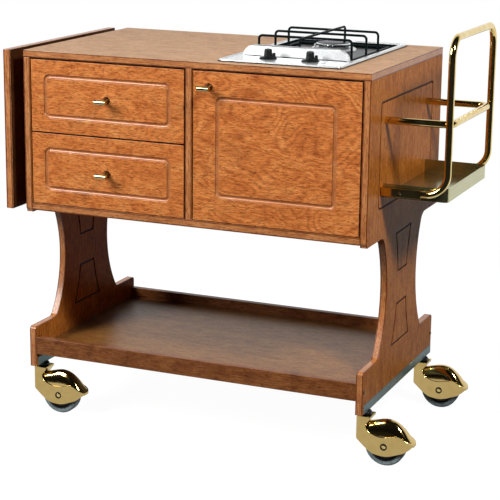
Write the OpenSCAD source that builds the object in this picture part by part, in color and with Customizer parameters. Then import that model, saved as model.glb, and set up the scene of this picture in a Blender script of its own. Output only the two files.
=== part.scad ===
// Flambe cart: a wooden serving trolley with two drawers, a bottle cupboard, a let-in
// two-burner gas hob, a drop leaf, a brass push rail with a bottle tray and hooded casters.
// X runs along the front to the right, Y runs back from the front, Z runs up from the floor.
// The origin is on the floor, at the middle of the whole cart's outline.

/* [Cabinet] */
// Length of the cabinet over its two end panels
cab_len = 900; // [820:10:1000]
// Depth of the cabinet
cab_depth = 558; // [530:2:600]
// Height of the cabinet part of an end panel, up to the worktop
cab_h = 387; // [360:1:430]
// Thickness of the end panels, divider, floor, shelf and fronts
board = 18; // [17:1:20]
// Thickness of the worktop
top_t = 18; // [16:1:22]
// Height of the cabinet floor board above the panels' lower edge
floor_up = 6; // [4:1:10]
// Thickness of the plywood back
back_t = 8; // [6:1:10]
// Clear width of the cupboard
cup_w = 426; // [410:2:450]
// Gap round each drawer front and round the door
front_gap = 3; // [2.6:0.1:4]
// Rounding of the end panels' lower corners
panel_corner = 14; // [10:1:20]

/* [Legs and feet] */
// Height of the waisted leg, from the foot to the cabinet
leg_h = 301; // [280:1:330]
// Width of a leg at its waist
waist_w = 231; // [215:1:250]
// Radius of the waist curves
waist_r = 270; // [260:1:300]
// Height of the waist above the foot
waist_up = 161; // [150:1:170]
// Radius where the leg runs into the cabinet
top_fillet = 34; // [24:1:40]
// Radius where the leg runs into the foot
foot_fillet = 14; // [8:1:20]
// Height of the wooden foot
foot_h = 84; // [76:1:96]
// How far the foot stays behind the cabinet's front and back
foot_inset = 4; // [2:1:10]
// Rounding of the foot's upper corners
foot_corner = 9; // [6:1:12]
// Thickness, front to back, of the tongue that hides the front end of the rail
tongue_t = 9; // [7:1:12]
// Height of the steel rail under each foot
rail_h = 22; // [20:1:26]
// Wall of the steel rail
rail_wall = 2; // [1.5:0.1:2.5]

/* [Lower shelf] */
// Height of the shelf lips
lip_h = 44; // [36:1:52]
// Height of the shelf board above the underside of the feet
shelf_up = 12; // [9:1:16]
// Radius of the shelf bolts
bolt_r = 3; // [2.5:0.1:3.5]
// Height of the shelf bolts above the underside of the feet
bolt_up = 33; // [31:1:36]

/* [Routed grooves] */
// Radius of the round cutter used on the fronts
cutter_r = 5; // [4:0.5:6]
// How far the cutter's centre stays outside the face
cutter_lift = 1.5; // [1:0.1:2.4]
// Corner radius of the groove frames on the fronts
groove_corner = 11; // [9:1:16]
// Distance of the groove frame from the edges of a drawer front
drawer_groove_in = 40; // [34:1:48]
// Distance of the groove frame from the edges of the door
door_groove_in = 63; // [54:1:72]
// Distance of the groove frame from the edges of an end panel
end_groove_in = 75; // [66:1:84]
// Width of the grooves on the end panels and legs
end_groove_w = 5; // [4:0.5:7]
// Depth of the grooves on the end panels and legs
end_groove_depth = 2.5; // [1.5:0.5:3]
// Distance of the leg grooves from the leg's curved edges
leg_groove_in = 80; // [72:1:88]
// Height of each of the two leg groove frames
leg_groove_h = 104; // [90:1:112]
// Distance of the leg groove frames from the cabinet and from the foot
leg_groove_gap = 7; // [5:1:14]

/* [Drawers] */
// Length of the drawer sides
box_len = 460; // [420:5:480]
// Height of the drawer sides
box_h = 118; // [100:1:130]
// Thickness of the drawer sides and back
box_t = 12; // [10:1:15]
// Thickness of the drawer base
base_t = 6; // [4:1:8]
// Height of the drawer base above the lower edge of the sides
base_up = 8; // [6:1:12]
// Height of the drawer sides above the lower edge of the front
box_up = 26; // [20:1:32]
// Side room for each pair of slides
slide_room = 13; // [12.7:0.1:14]
// Height of the fixed slide channel
slide_h = 45; // [38:1:50]
// Wall of the slide channels
slide_wall = 1.5; // [1.2:0.1:2]
// Length of the slides
slide_len = 450; // [400:5:470]
// Running gap between the two slide channels
slide_gap = 0.5; // [0.3:0.1:0.8]

/* [Knobs] */
// Radius of the brass bar of a knob
knob_bar_r = 5.8; // [5:0.2:7]
// Length of the bar
knob_bar_len = 30; // [26:1:36]
// Distance of the bar's centre from the front face
knob_reach = 32; // [28:1:38]
// Radius of the knob's foot
knob_foot_r = 10; // [8:0.5:12]
// Radius of the knob's stem
knob_stem_r = 4; // [3:0.2:5]
// Distance of the door knob from the door's free edge
door_knob_in = 40; // [34:1:46]
// Distance of the door knob below the door's top edge
door_knob_down = 37; // [30:1:44]

/* [Door] */
// Distance of the pivot pins from the hinged edge
pivot_in = 14; // [13.8:0.1:15]
// Radius of the pivot pins
pivot_r = 3; // [2.5:0.1:3.5]
// Length of a pivot pin inside the door
pivot_in_door = 20; // [16:1:26]
// Length of a pivot pin inside the floor or worktop
pivot_in_case = 9; // [7:1:11]
// Size of the door catch
catch = 24; // [20:1:30]

/* [Drop leaf] */
// Length of the leaf, from its hinged edge to its free edge
leaf_len = 400; // [380:2:420]
// Thickness of the leaf
leaf_t = 20; // [18:1:22]
// Gap between the raised leaf and the worktop
leaf_gap = 2; // [1:0.5:3]
// Distance of the hinge pins from the leaf's hinged edge
leaf_pin_in = 27; // [25:1:30]
// Distance of the hinge pins from the leaf's underside
leaf_pin_below = 9; // [9:0.5:11]
// Distance of the folding brackets from the cabinet's front and back
bracket_in = 85; // [70:1:110]
// Distance between the leaf's hinge pin and the brace's pin below it
brace_drop = 150; // [140:1:160]
// Thickness of the steel plates of the brackets
plate_t = 3; // [2.5:0.5:3.5]
// Radius of the rounded eyes of the plates
eye_r = 8.5; // [7.5:0.5:8.8]
// Radius of the hinge pins
pin_r = 3; // [2.5:0.1:3.5]
// Width of the bracket flanges
flange_w = 24; // [20:1:30]

/* [Push rail and tray] */
// Diameter of the brass tube
tube_d = 17; // [15:0.5:18]
// Distance of the loop from the end panel
loop_out = 158; // [140:1:180]
// Height of the loop's top tube above the cabinet's lower edge
loop_top = 482; // [440:1:520]
// Height of the square sleeves above the cabinet's lower edge
sleeve_up = 120; // [110:1:140]
// Distance of the front side of the loop from the cabinet's front
loop_front = 93; // [80:1:110]
// Width of the loop between the centres of its sides
loop_w = 355; // [330:1:380]
// Bend radius at the bottom of the loop
loop_low_bend = 50; // [40:1:60]
// Bend radius at the top of the loop
loop_top_bend = 45; // [36:1:60]
// Outer size of the square sleeves
sleeve_s = 20; // [19.5:0.5:23]
// Length of the square sleeves
sleeve_len = 98; // [80:1:100]
// Height of the middle rail above the cabinet's lower edge
mid_up = 284; // [260:1:310]
// Bend radius of the middle rail
mid_bend = 24; // [18:1:32]
// Height of the tray floor above the cabinet's lower edge
tray_up = 105; // [94:1:110]
// Height of the tray's lips
tray_lip = 31; // [24:1:40]
// Thickness of the tray's sheet brass
tray_t = 2; // [1.5:0.1:2.5]

/* [Gas hob] */
// Width of the hob plate
hob_w = 307; // [290:1:320]
// Distance of the hob plate from the cabinet's front
hob_front = 31; // [26:1:36]
// Worktop left clear behind the hob plate
hob_rear = 31; // [26:1:36]
// Distance of the hob plate's middle from the right end of the cabinet
hob_right = 239.5; // [230:0.5:260]
// Thickness of the hob plate's rim
hob_t = 4; // [3:0.5:5]
// Width of the rim that lies on the worktop
hob_lap = 16; // [12:1:20]
// Depth of the control field, from the hob's front edge
control_d = 124; // [112:1:130]
// Height of the ridge behind the controls
ridge_h = 26; // [20:1:30]
// Thickness of the ridge
ridge_t = 16; // [12:1:20]
// Depth of the enamelled well
well_deep = 8; // [6:1:12]
// Wall of the pressed sheets of the hob
sheet = 1.5; // [1.2:0.1:2]
// Height of the burner box below the hob
burner_box_h = 62; // [54:1:70]
// Distance of the control knobs from the hob's front edge
knob_in = 68; // [60:1:74]
// Distance between the two control knobs
knob_gap = 106; // [90:1:120]
// Radius of a control knob's skirt
hob_knob_r = 21; // [18:0.5:24]
// Height of a control knob's grip
hob_grip_h = 24; // [20:1:28]
// Radius of the ignition button
button_r = 6.5; // [5.5:0.5:8]
// Distance of the ignition button to the right of the hob's middle
button_side = 89; // [84:1:96]
// Distance of the ignition button in front of the knobs
button_lead = 10; // [0:1:16]
// Distance of the front burner from the hob's front edge
burner_front = 212; // [200:1:216]
// Distance of the rear burner from the hob's rear edge
burner_rear = 124; // [116:1:130]
// Radius of the front burner
burner_small_r = 32; // [28:1:36]
// Radius of the rear burner
burner_large_r = 44; // [38:1:48]
// Height of a burner's crown above the well
crown_h = 12; // [10:0.5:14]
// Depth of a burner's mixing cup below the well
cup_h = 26; // [22:1:30]
// Thickness of a burner's cap
cap_h = 8; // [7:0.5:9]
// Height of the pan bars above the hob plate
pan_up = 45; // [38:1:50]
// Radius of the pan support's wire
wire_r = 3; // [2.5:0.1:3.5]
// Width of the pan support
pan_w = 238; // [220:1:250]

/* [Casters] */
// Overall height of a caster, from the floor to the rail
caster_h = 129; // [124:1:140]
// Radius of the wheel
wheel_r = 50; // [46:0.5:52]
// Width of the wheel
wheel_w = 28; // [24:1:30]
// Distance of the axle behind the swivel stem
trail = 56; // [52:1:58]
// Radius of the stem
stem_r = 5; // [4:0.1:6]
// Radius of the swivel cap
swivel_r = 17; // [15:0.5:18]
// Height of the swivel cap
swivel_h = 9; // [7:0.5:11]
// Width of the hood over its cheeks
hood_w = 44; // [43:1:48]
// Thickness of a cheek
cheek_t = 6; // [4:0.5:6.5]
// Distance of the stems from the foot's front and rear ends
stem_in = 47; // [40:1:60]
// Radius of the axle
axle_r = 5; // [4:0.1:6]

/* [Hidden] */
$fn = 72;

// Finishes
front_wood = "#C8702F";
case_wood = "#A8683A";
top_wood = "#B88A60";
shelf_wood = "#7E4630";
ply_wood = "#D9BE93";
brass = "#C9A75A";
satin_brass = "#A59A5C";
steel = "#6E7F7C";
stainless = "#DADCD8";
enamel = "#15191A";
black_plastic = "#1B1B1C";
rubber = "#8D9899";
alloy = "#8E9290";

// Heights from the floor
z_foot = caster_h + rail_h;
z_leg = z_foot + foot_h;
z_cab = z_leg + leg_h;
z_under = z_cab + cab_h;
z_top = z_under + top_t;

// Carcass places
mid_y = cab_depth / 2;
inner_r = cab_len - board;
div_x = inner_r - cup_w - board;
bay_w = div_x - board;
floor_z = z_cab + floor_up;
inside_z = floor_z + board;
back_y = cab_depth - back_t;
foot_d = cab_depth - 2 * foot_inset;

// Fronts
front_low = z_cab + floor_up + board + front_gap / 2;
front_high = z_under - front_gap;
front_h = (front_high - front_low - front_gap) / 2;
front_x = board + front_gap;
front_w = bay_w - 2 * front_gap;
upper_z = front_high - front_h;
lower_z = front_low;
door_x = div_x + board + front_gap;
door_w = inner_r - front_gap - door_x;
door_h = front_high - front_low;
run_fit = 0.05;
seat_gap = 0.3;
pivot_x = door_x + door_w - pivot_in;
pivot_y = board / 2;

// Leaf places: the hinge pins lie below the raised leaf
leaf_drop = leaf_t + leaf_pin_below;
leaf_pin_z = z_top - leaf_drop;
leaf_pin_x = -(leaf_pin_in + leaf_gap);
brace_pin_z = leaf_pin_z - brace_drop;
brace_len = brace_drop * sqrt(2);
layer = plate_t + seat_gap;

// Push rail places
tube_r = tube_d / 2;
loop_x = cab_len + loop_out;
loop_rear = loop_front + loop_w;
loop_z = z_cab + sleeve_up;
loop_high = z_cab + loop_top;
mid_z = z_cab + mid_up;
mid_front = loop_front + tube_d + seat_gap;
mid_rear = loop_rear - tube_d - seat_gap;

// Hob places
hob_x = cab_len - hob_right;
hob_rim_z = z_top + hob_t;
hob_back = cab_depth - hob_rear;
hob_d = hob_back - hob_front;
cut_x = hob_w / 2 - hob_lap;
cut_front = hob_front + hob_lap;
cut_back = hob_back - hob_lap;
well_front = hob_front + control_d;
well_back = cut_back - seat_gap;
well_z = hob_rim_z - well_deep;
well_x = cut_x - seat_gap;
small_y = hob_front + burner_front;
large_y = hob_back - burner_rear;
knob_y = hob_front + knob_in;
button_x = hob_x + button_side;
button_y = knob_y - button_lead;

// Caster places
stem_y = foot_inset + stem_in;
axle_drop = caster_h - wheel_r;
corners = [[board / 2, stem_y], [cab_len - board / 2, stem_y],
           [board / 2, cab_depth - stem_y], [cab_len - board / 2, cab_depth - stem_y]];

// The whole cart's outline, used to centre it on the origin
out_left = leaf_pin_x - leaf_drop;
out_right = loop_x + tube_r;
out_front = -(knob_reach + knob_bar_r);
origin_x = (out_left + out_right) / 2;
origin_y = (out_front + cab_depth) / 2;

module place() {
    translate([-origin_x, -origin_y, 0]) children();
}

// Turns an outline drawn in depth and height into a board whose thickness runs along X
module across(t) {
    rotate([90, 0, 90]) linear_extrude(height = t) children();
}

// Turns an outline drawn in length and height into a plate whose thickness runs back along Y
module along(t) {
    translate([0, t, 0]) rotate([90, 0, 0]) linear_extrude(height = t) children();
}

module round_rect(w, h, r) {
    translate([r, 0]) square([w - 2 * r, h]);
    translate([0, r]) square([w, h - 2 * r]);
    for (x = [r, w - r], y = [r, h - r]) translate([x, y]) circle(r = r);
}

// Two children, mirrored about the middle of the depth
module front_and_rear() {
    children();
    translate([cab_depth, 0]) mirror([1, 0]) children();
}

// Centre of a leg's front waist circle
waist_y = mid_y - waist_w / 2 - waist_r;
waist_z = z_leg + waist_up;

// Centre of the fillet between the waist circle and a level edge; side is 1 below the
// cabinet's edge and -1 above the foot's edge
function fillet_centre(edge_z, r, side) =
    let (z = edge_z - side * r)
    [waist_y + sqrt(pow(waist_r - r, 2) - pow(z - waist_z, 2)), z];

// Points along a circle from one angle to another
function arc(c, r, from, to, steps) =
    [for (i = [0:steps]) let (a = from + (to - from) * i / steps) c + r * [cos(a), sin(a)]];

// Open space in front of a leg: a fillet above the foot, the waist curve and a fillet
// below the cabinet, closed by a line in front of the board
module waist_space() {
    high = fillet_centre(z_cab, top_fillet, 1);
    low = fillet_centre(z_leg, foot_fillet, -1);
    high_a = atan2(high[1] - waist_z, high[0] - waist_y);
    low_a = atan2(low[1] - waist_z, low[0] - waist_y);
    outside = -20;
    waist = arc([waist_y, waist_z], waist_r, low_a, high_a, 72);
    polygon(concat([[outside, z_leg]], arc(low, foot_fillet, -90, low_a, 8),
                   [for (i = [1:71]) waist[i]],
                   arc(high, top_fillet, high_a, 90, 12), [[outside, z_cab]]));
}

// Outline of an end panel: cabinet part, waisted leg and foot in one board
module end_outline() {
    translate([0, z_cab]) round_rect(cab_depth, cab_h / 2, panel_corner);
    translate([0, z_cab + panel_corner + 1]) square([cab_depth, cab_h - panel_corner - 1]);
    difference() {
        translate([foot_inset, z_leg - foot_fillet]) square([foot_d, leg_h + foot_fillet + top_fillet]);
        front_and_rear() waist_space();
        front_and_rear() translate([0, z_leg - 2 * foot_fillet])
            square([foot_inset + foot_corner, 2 * foot_fillet]);
    }
    translate([foot_inset, z_foot]) round_rect(foot_d, foot_h, foot_corner);
    translate([foot_inset, z_foot]) square([foot_d, foot_h / 2]);
    translate([foot_inset, caster_h]) square([tongue_t, rail_h + 1]);
}

// Closed groove frame on a leg, between two heights, following the curved edges
module leg_groove(low, high) {
    difference() {
        leg_groove_field(low, high, 0);
        leg_groove_field(low, high, end_groove_w);
    }
}

module leg_groove_field(low, high, inset) {
    r = waist_r + leg_groove_in + inset;
    difference() {
        translate([foot_inset, low + inset]) square([foot_d, high - low - 2 * inset]);
        front_and_rear() translate([waist_y, waist_z]) circle(r = r, $fn = 160);
    }
}

module panel_groove() {
    w = cab_depth - 2 * end_groove_in;
    h = z_top - z_cab - 2 * end_groove_in;
    translate([end_groove_in, z_cab + end_groove_in])
        difference() {
            round_rect(w, h, groove_corner);
            translate([end_groove_w, end_groove_w])
                round_rect(w - 2 * end_groove_w, h - 2 * end_groove_w, groove_corner - end_groove_w);
        }
}

module leg_grooves() {
    high = z_cab - leg_groove_gap;
    low = z_leg + leg_groove_gap;
    leg_groove(high - leg_groove_h, high);
    leg_groove(low, low + leg_groove_h);
}

// End panel with its outer face at x = 0 and its inner face at x = board
module end_panel() {
    skin = 1;
    difference() {
        across(board) end_outline();
        translate([-skin, 0, 0]) across(end_groove_depth + skin) {
            panel_groove();
            leg_grooves();
        }
        translate([board - end_groove_depth, 0, 0]) across(end_groove_depth + skin) leg_grooves();
        for (y = bolt_places) translate([-skin, y, z_foot + bolt_up]) rotate([0, 90, 0])
            cylinder(r = bolt_r + run_fit, h = board + 2 * skin);
        for (y = [stem_y, cab_depth - stem_y]) translate([board / 2, y, z_foot - skin])
            cylinder(r = stem_r + run_fit, h = stem_in_foot + skin);
    }
}
stem_in_foot = 24;
bolt_places = [foot_inset + board / 2, cab_depth - foot_inset - board / 2];

module end_panel_left() {
    color(case_wood) place() end_panel();
}

module end_panel_right() {
    color(case_wood) place() translate([cab_len, 0, 0]) mirror([1, 0, 0]) end_panel();
}

module worktop() {
    skin = 1;
    color(top_wood) place() difference() {
        translate([0, 0, z_under]) cube([cab_len, cab_depth, top_t]);
        translate([hob_x - cut_x, cut_front, z_under - skin])
            linear_extrude(height = top_t + 2 * skin) round_rect(2 * cut_x, cut_back - cut_front, 8);
        translate([pivot_x, pivot_y, z_under - skin])
            cylinder(r = pivot_r + run_fit, h = pivot_in_case + 1 + skin);
    }
}

module divider() {
    color(case_wood) place() translate([div_x, 0, inside_z])
        cube([board, back_y, z_under - inside_z]);
}

module cabinet_floor() {
    skin = 1;
    color(case_wood) place() difference() {
        translate([board, 0, floor_z]) cube([inner_r - board, cab_depth, board]);
        translate([pivot_x, pivot_y, inside_z - pivot_in_case - 1])
            cylinder(r = pivot_r + run_fit, h = pivot_in_case + 1 + skin);
    }
}

module cabinet_back() {
    color(ply_wood) place() translate([board, back_y, inside_z])
        cube([inner_r - board, back_t, z_under - inside_z]);
}

lip_front = foot_inset;
lip_rear = cab_depth - foot_inset - board;
shelf_z = z_foot + shelf_up;

module lower_shelf() {
    color(shelf_wood) place() translate([board, lip_front + board, shelf_z])
        cube([inner_r - board, lip_rear - lip_front - board, board]);
}

module shelf_lips() {
    skin = 1;
    color(shelf_wood) place() for (y = [lip_front, lip_rear]) difference() {
        translate([board, y, shelf_z]) cube([inner_r - board, board, lip_h]);
        for (x = [board - skin, inner_r - bolt_bite])
            translate([x, y + board / 2, z_foot + bolt_up]) rotate([0, 90, 0])
                cylinder(r = bolt_r + run_fit, h = bolt_bite + skin);
    }
}
bolt_bite = 22;

// Dome-headed bolt pointing along X, head outside x = 0
module shelf_bolt() {
    rotate([0, 90, 0]) {
        cylinder(r = bolt_r, h = board + bolt_bite - 1);
        translate([0, 0, -1.2]) cylinder(r = bolt_r * 1.6, h = 1.2);
        translate([0, 0, -2.6]) cylinder(r1 = bolt_r * 0.9, r2 = bolt_r * 1.6, h = 1.4);
    }
}

module shelf_bolts() {
    color(brass) place() for (y = bolt_places) {
        translate([0, y, z_foot + bolt_up]) shelf_bolt();
        translate([cab_len, y, z_foot + bolt_up]) mirror([1, 0, 0]) shelf_bolt();
    }
}

// Square steel tube under one foot, with round holes for the caster stems
module base_rail() {
    start = foot_inset + tongue_t;
    skin = 1;
    difference() {
        translate([0, start, caster_h]) cube([board, foot_inset + foot_d - start, rail_h]);
        translate([rail_wall, start - skin, caster_h + rail_wall])
            cube([board - 2 * rail_wall, foot_d + 2 * skin, rail_h - 2 * rail_wall]);
        for (y = [stem_y, cab_depth - stem_y]) translate([board / 2, y, caster_h - skin])
            cylinder(r = stem_r + run_fit, h = rail_h + 2 * skin);
    }
}

module base_rails() {
    color(steel) place() {
        base_rail();
        translate([cab_len - board, 0, 0]) base_rail();
    }
}

// Channel that is open towards +X, with its web at x = 0
module channel(depth, height, wall, length) {
    difference() {
        cube([depth, length, height]);
        translate([wall, -1, wall]) cube([depth, length + 2, height - 2 * wall]);
    }
}

outer_depth = slide_room - 2;
inner_h = slide_h - 2 * slide_wall - 2 * slide_gap;
slide_y = board + 2;

module fixed_channel(z) {
    translate([board, slide_y, z - slide_h / 2])
        channel(outer_depth, slide_h, slide_wall, slide_len);
}

module moving_channel(z) {
    translate([board + slide_room, slide_y, z - inner_h / 2]) mirror([1, 0, 0])
        channel(slide_room - slide_wall - slide_gap, inner_h, slide_wall, slide_len);
}

// Two children, mirrored about the middle of the drawer bay
module both_bay_sides() {
    children();
    translate([2 * board + bay_w, 0, 0]) mirror([1, 0, 0]) children();
}

function slide_z(front_z) = front_z + box_up + box_h / 2;

module drawer_runners() {
    color(steel) place() for (z = [upper_z, lower_z]) both_bay_sides() fixed_channel(slide_z(z));
}

// Rounded groove frame of w by h about the origin, cut with a round cutter along z = 0
module routed_frame(w, h) {
    for (s = [-1, 1]) {
        translate([s * w / 2, 0, 0]) rotate([90, 0, 0])
            cylinder(r = cutter_r, h = h - 2 * groove_corner, center = true);
        translate([0, s * h / 2, 0]) rotate([0, 90, 0])
            cylinder(r = cutter_r, h = w - 2 * groove_corner, center = true);
    }
    for (a = [0, 90, 180, 270]) {
        sx = (a == 0 || a == 270) ? 1 : -1;
        sy = (a < 180) ? 1 : -1;
        translate([sx * (w / 2 - groove_corner), sy * (h / 2 - groove_corner), 0])
            rotate([0, 0, a]) rotate_extrude(angle = 90) translate([groove_corner, 0])
                circle(r = cutter_r, $fn = 40);
    }
}

// Front board with a routed frame, lower left front corner at the origin
module grooved_front(w, h, inset) {
    difference() {
        cube([w, board, h]);
        translate([w / 2, -cutter_lift, h / 2]) rotate([90, 0, 0])
            routed_frame(w - 2 * inset, h - 2 * inset);
    }
}

// Brass bar knob, its foot on the front face at y = 0
module bar_knob() {
    rotate([90, 0, 0]) rotate_extrude() polygon([
        [0, 0], [knob_foot_r, 0], [knob_foot_r, 1.5], [knob_foot_r * 0.72, 6],
        [knob_stem_r + 1, 13], [knob_stem_r, 18], [knob_stem_r, knob_reach], [0, knob_reach]]);
    translate([0, -knob_reach, 0]) rotate([0, 90, 0])
        cylinder(r = knob_bar_r, h = knob_bar_len, center = true);
}

module drawer_front(z) {
    color(front_wood) place() translate([front_x, 0, z]) grooved_front(front_w, front_h, drawer_groove_in);
}

module drawer_box(z) {
    low = z + box_up;
    span = bay_w - 2 * slide_room - 2 * box_t;
    color(ply_wood) place() {
        both_bay_sides() translate([board + slide_room, board, low]) cube([box_t, box_len, box_h]);
        translate([board + slide_room + box_t, board + box_len - box_t, low])
            cube([span, box_t, box_h]);
    }
}

module drawer_base(z) {
    span = bay_w - 2 * slide_room - 2 * box_t;
    color(ply_wood) place() translate([board + slide_room + box_t, board, z + box_up + base_up])
        cube([span, box_len - box_t, base_t]);
}

module drawer_knob(z) {
    color(brass) place() translate([front_x + front_w / 2, 0, z + front_h / 2]) bar_knob();
}

module drawer_slides(z) {
    color(steel) place() both_bay_sides() moving_channel(slide_z(z));
}

module upper_drawer_front() drawer_front(upper_z);
module upper_drawer_box() drawer_box(upper_z);
module upper_drawer_base() drawer_base(upper_z);
module upper_drawer_knob() drawer_knob(upper_z);
module upper_drawer_slides() drawer_slides(upper_z);
module lower_drawer_front() drawer_front(lower_z);
module lower_drawer_box() drawer_box(lower_z);
module lower_drawer_base() drawer_base(lower_z);
module lower_drawer_knob() drawer_knob(lower_z);
module lower_drawer_slides() drawer_slides(lower_z);

module door() {
    skin = 1;
    color(front_wood) place() difference() {
        translate([door_x, 0, front_low]) grooved_front(door_w, door_h, door_groove_in);
        for (z = [front_low - skin, front_high - pivot_in_door])
            translate([pivot_x, pivot_y, z]) cylinder(r = pivot_r + run_fit, h = pivot_in_door + skin);
    }
}

module door_knob() {
    color(brass) place()
        translate([door_x + door_knob_in, 0, front_high - door_knob_down]) bar_knob();
}

module door_pivots() {
    color(brass) place() {
        translate([pivot_x, pivot_y, inside_z - pivot_in_case])
            cylinder(r = pivot_r, h = pivot_in_case + front_low - inside_z + pivot_in_door - 1);
        translate([pivot_x, pivot_y, front_high - pivot_in_door + 1])
            cylinder(r = pivot_r, h = pivot_in_door - 1 + front_gap + pivot_in_case);
    }
}

module door_catch() {
    color(black_plastic) place()
        translate([div_x + board, board + seat_gap, z_under - catch * 0.7])
            difference() {
                cube([catch, catch * 1.6, catch * 0.7]);
                translate([3, -1, 3]) cube([catch - 6, 5, catch * 0.7 - 6]);
            }
}

// Drop leaf, hanging at the left end
module drop_leaf() {
    color(case_wood) place() translate([leaf_pin_x - leaf_drop, 1.5, leaf_pin_z + leaf_pin_in - leaf_len])
        cube([leaf_t, cab_depth - 3, leaf_len]);
}

// The folding bracket's layers stand side by side: brace, wall plate, arm
module front_and_rear_bracket() {
    translate([0, bracket_in, 0]) children();
    translate([0, cab_depth - bracket_in, 0]) mirror([0, 1, 0]) children();
}

wall_plate_low = brace_pin_z - eye_r - 4;

// Wall plate: a web with two eyes and a flange on the end panel
module leaf_bracket() {
    reach = -leaf_pin_x;
    skin = 1;
    difference() {
        along(plate_t) union() {
            for (z = [leaf_pin_z, brace_pin_z]) {
                translate([leaf_pin_x, z]) circle(r = eye_r);
                translate([leaf_pin_x, z - eye_r]) square([reach, 2 * eye_r]);
            }
            translate([-reach / 2, wall_plate_low]) square([reach / 2, leaf_pin_z + eye_r - wall_plate_low]);
        }
        for (z = [leaf_pin_z, brace_pin_z]) translate([leaf_pin_x, -skin, z]) rotate([-90, 0, 0])
            cylinder(r = pin_r + run_fit, h = plate_t + 2 * skin);
    }
    translate([-plate_t, plate_t, wall_plate_low])
        cube([plate_t, flange_w, leaf_pin_z + eye_r - wall_plate_low]);
}

module leaf_brackets() {
    color(steel) place() front_and_rear_bracket() leaf_bracket();
}

arm_low = leaf_pin_z - brace_drop - brace_len - eye_r;

// Arm under the leaf: an angle with an eye at the pin. Its web is deep up to the shoulder
// that the brace's stud comes to, and narrow beyond it.
module leaf_arm() {
    skin = 1;
    face_x = leaf_pin_x - leaf_pin_below;
    stud_room = pin_r + 0.5;
    shoulder_z = leaf_pin_z - brace_drop + stud_room;
    difference() {
        translate([0, layer, 0]) along(plate_t) union() {
            translate([leaf_pin_x, leaf_pin_z]) circle(r = eye_r);
            translate([face_x, shoulder_z]) square([leaf_pin_below + eye_r, leaf_pin_z - shoulder_z]);
            translate([face_x, arm_low]) square([leaf_pin_below - stud_room, shoulder_z + 1 - arm_low]);
        }
        translate([leaf_pin_x, layer - skin, leaf_pin_z]) rotate([-90, 0, 0])
            cylinder(r = pin_r + run_fit, h = plate_t + 2 * skin);
    }
    translate([face_x, layer + plate_t, arm_low]) cube([plate_t, flange_w, leaf_pin_z - arm_low]);
}

module leaf_arms() {
    color(steel) place() front_and_rear_bracket() leaf_arm();
}

// Brace: a flat bar that hangs from the wall plate's lower eye and carries a stud
module leaf_brace() {
    skin = 1;
    end_z = brace_pin_z - brace_len;
    difference() {
        translate([0, -layer, 0]) along(plate_t) union() {
            translate([leaf_pin_x, brace_pin_z]) circle(r = eye_r);
            translate([leaf_pin_x, end_z]) circle(r = eye_r);
            translate([leaf_pin_x - eye_r, end_z]) square([2 * eye_r, brace_len]);
        }
        translate([leaf_pin_x, -layer - skin, brace_pin_z]) rotate([-90, 0, 0])
            cylinder(r = pin_r + run_fit, h = plate_t + 2 * skin);
    }
    translate([leaf_pin_x, -seat_gap - 1, end_z]) rotate([-90, 0, 0])
        cylinder(r = pin_r, h = 1 + seat_gap + layer + plate_t);
}

module leaf_braces() {
    color(steel) place() front_and_rear_bracket() leaf_brace();
}

// Rivet along Y between two layers, with its head at the front end
module rivet(from, to) {
    head_r = pin_r * 1.6;
    head_h = 1.2;
    rotate([-90, 0, 0]) {
        translate([0, 0, from - head_h]) cylinder(r = head_r, h = head_h);
        translate([0, 0, from]) cylinder(r = pin_r, h = to - from);
    }
}

module leaf_pivot_pins() {
    color(brass) place() front_and_rear_bracket() {
        translate([leaf_pin_x, 0, leaf_pin_z]) rivet(-seat_gap, layer + plate_t + seat_gap);
        translate([leaf_pin_x, 0, brace_pin_z]) rivet(-layer - seat_gap, plate_t);
    }
}

// Quarter bend of tube: starts at the origin along +X and turns towards +Z
module bend_up(r) {
    translate([0, 0, r]) rotate([90, 90, 0]) rotate_extrude(angle = 90)
        translate([r, 0]) circle(r = tube_r);
}

// One side of the push rail's loop, from inside its sleeve to the middle of the top tube
module loop_side() {
    start_x = cab_len + sleeve_len / 2 + 8;
    low_x = loop_x - loop_low_bend;
    translate([start_x, 0, loop_z]) rotate([0, 90, 0]) cylinder(r = tube_r, h = low_x - start_x);
    translate([low_x, 0, loop_z]) bend_up(loop_low_bend);
    translate([loop_x, 0, loop_z + loop_low_bend])
        cylinder(r = tube_r, h = loop_high - loop_top_bend - loop_z - loop_low_bend);
    translate([loop_x, loop_top_bend, loop_high - loop_top_bend]) rotate([0, 0, 90])
        rotate([90, 0, 0]) rotate([0, 0, 90]) rotate_extrude(angle = 90)
            translate([loop_top_bend, 0]) circle(r = tube_r);
    translate([loop_x, loop_top_bend, loop_high]) rotate([-90, 0, 0])
        cylinder(r = tube_r, h = loop_w / 2 - loop_top_bend);
}

module handle_loop() {
    color(brass) place() {
        translate([0, loop_front, 0]) loop_side();
        translate([0, loop_rear, 0]) mirror([0, 1, 0]) loop_side();
    }
}

// Middle rail: two legs from the end panel and one bar between the sides of the loop
module middle_rail() {
    leg = loop_out - mid_bend;
    color(brass) place() {
        for (y = [mid_front, mid_rear]) translate([cab_len, y, mid_z]) rotate([0, 90, 0])
            cylinder(r = tube_r, h = leg);
        translate([loop_x, mid_front + mid_bend, mid_z]) rotate([-90, 0, 0])
            cylinder(r = tube_r, h = mid_rear - mid_front - 2 * mid_bend);
        translate([loop_x - mid_bend, mid_front + mid_bend, mid_z]) rotate([0, 0, 270])
            rotate_extrude(angle = 90) translate([mid_bend, 0]) circle(r = tube_r);
        translate([loop_x - mid_bend, mid_rear - mid_bend, mid_z])
            rotate_extrude(angle = 90) translate([mid_bend, 0]) circle(r = tube_r);
    }
}

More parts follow.
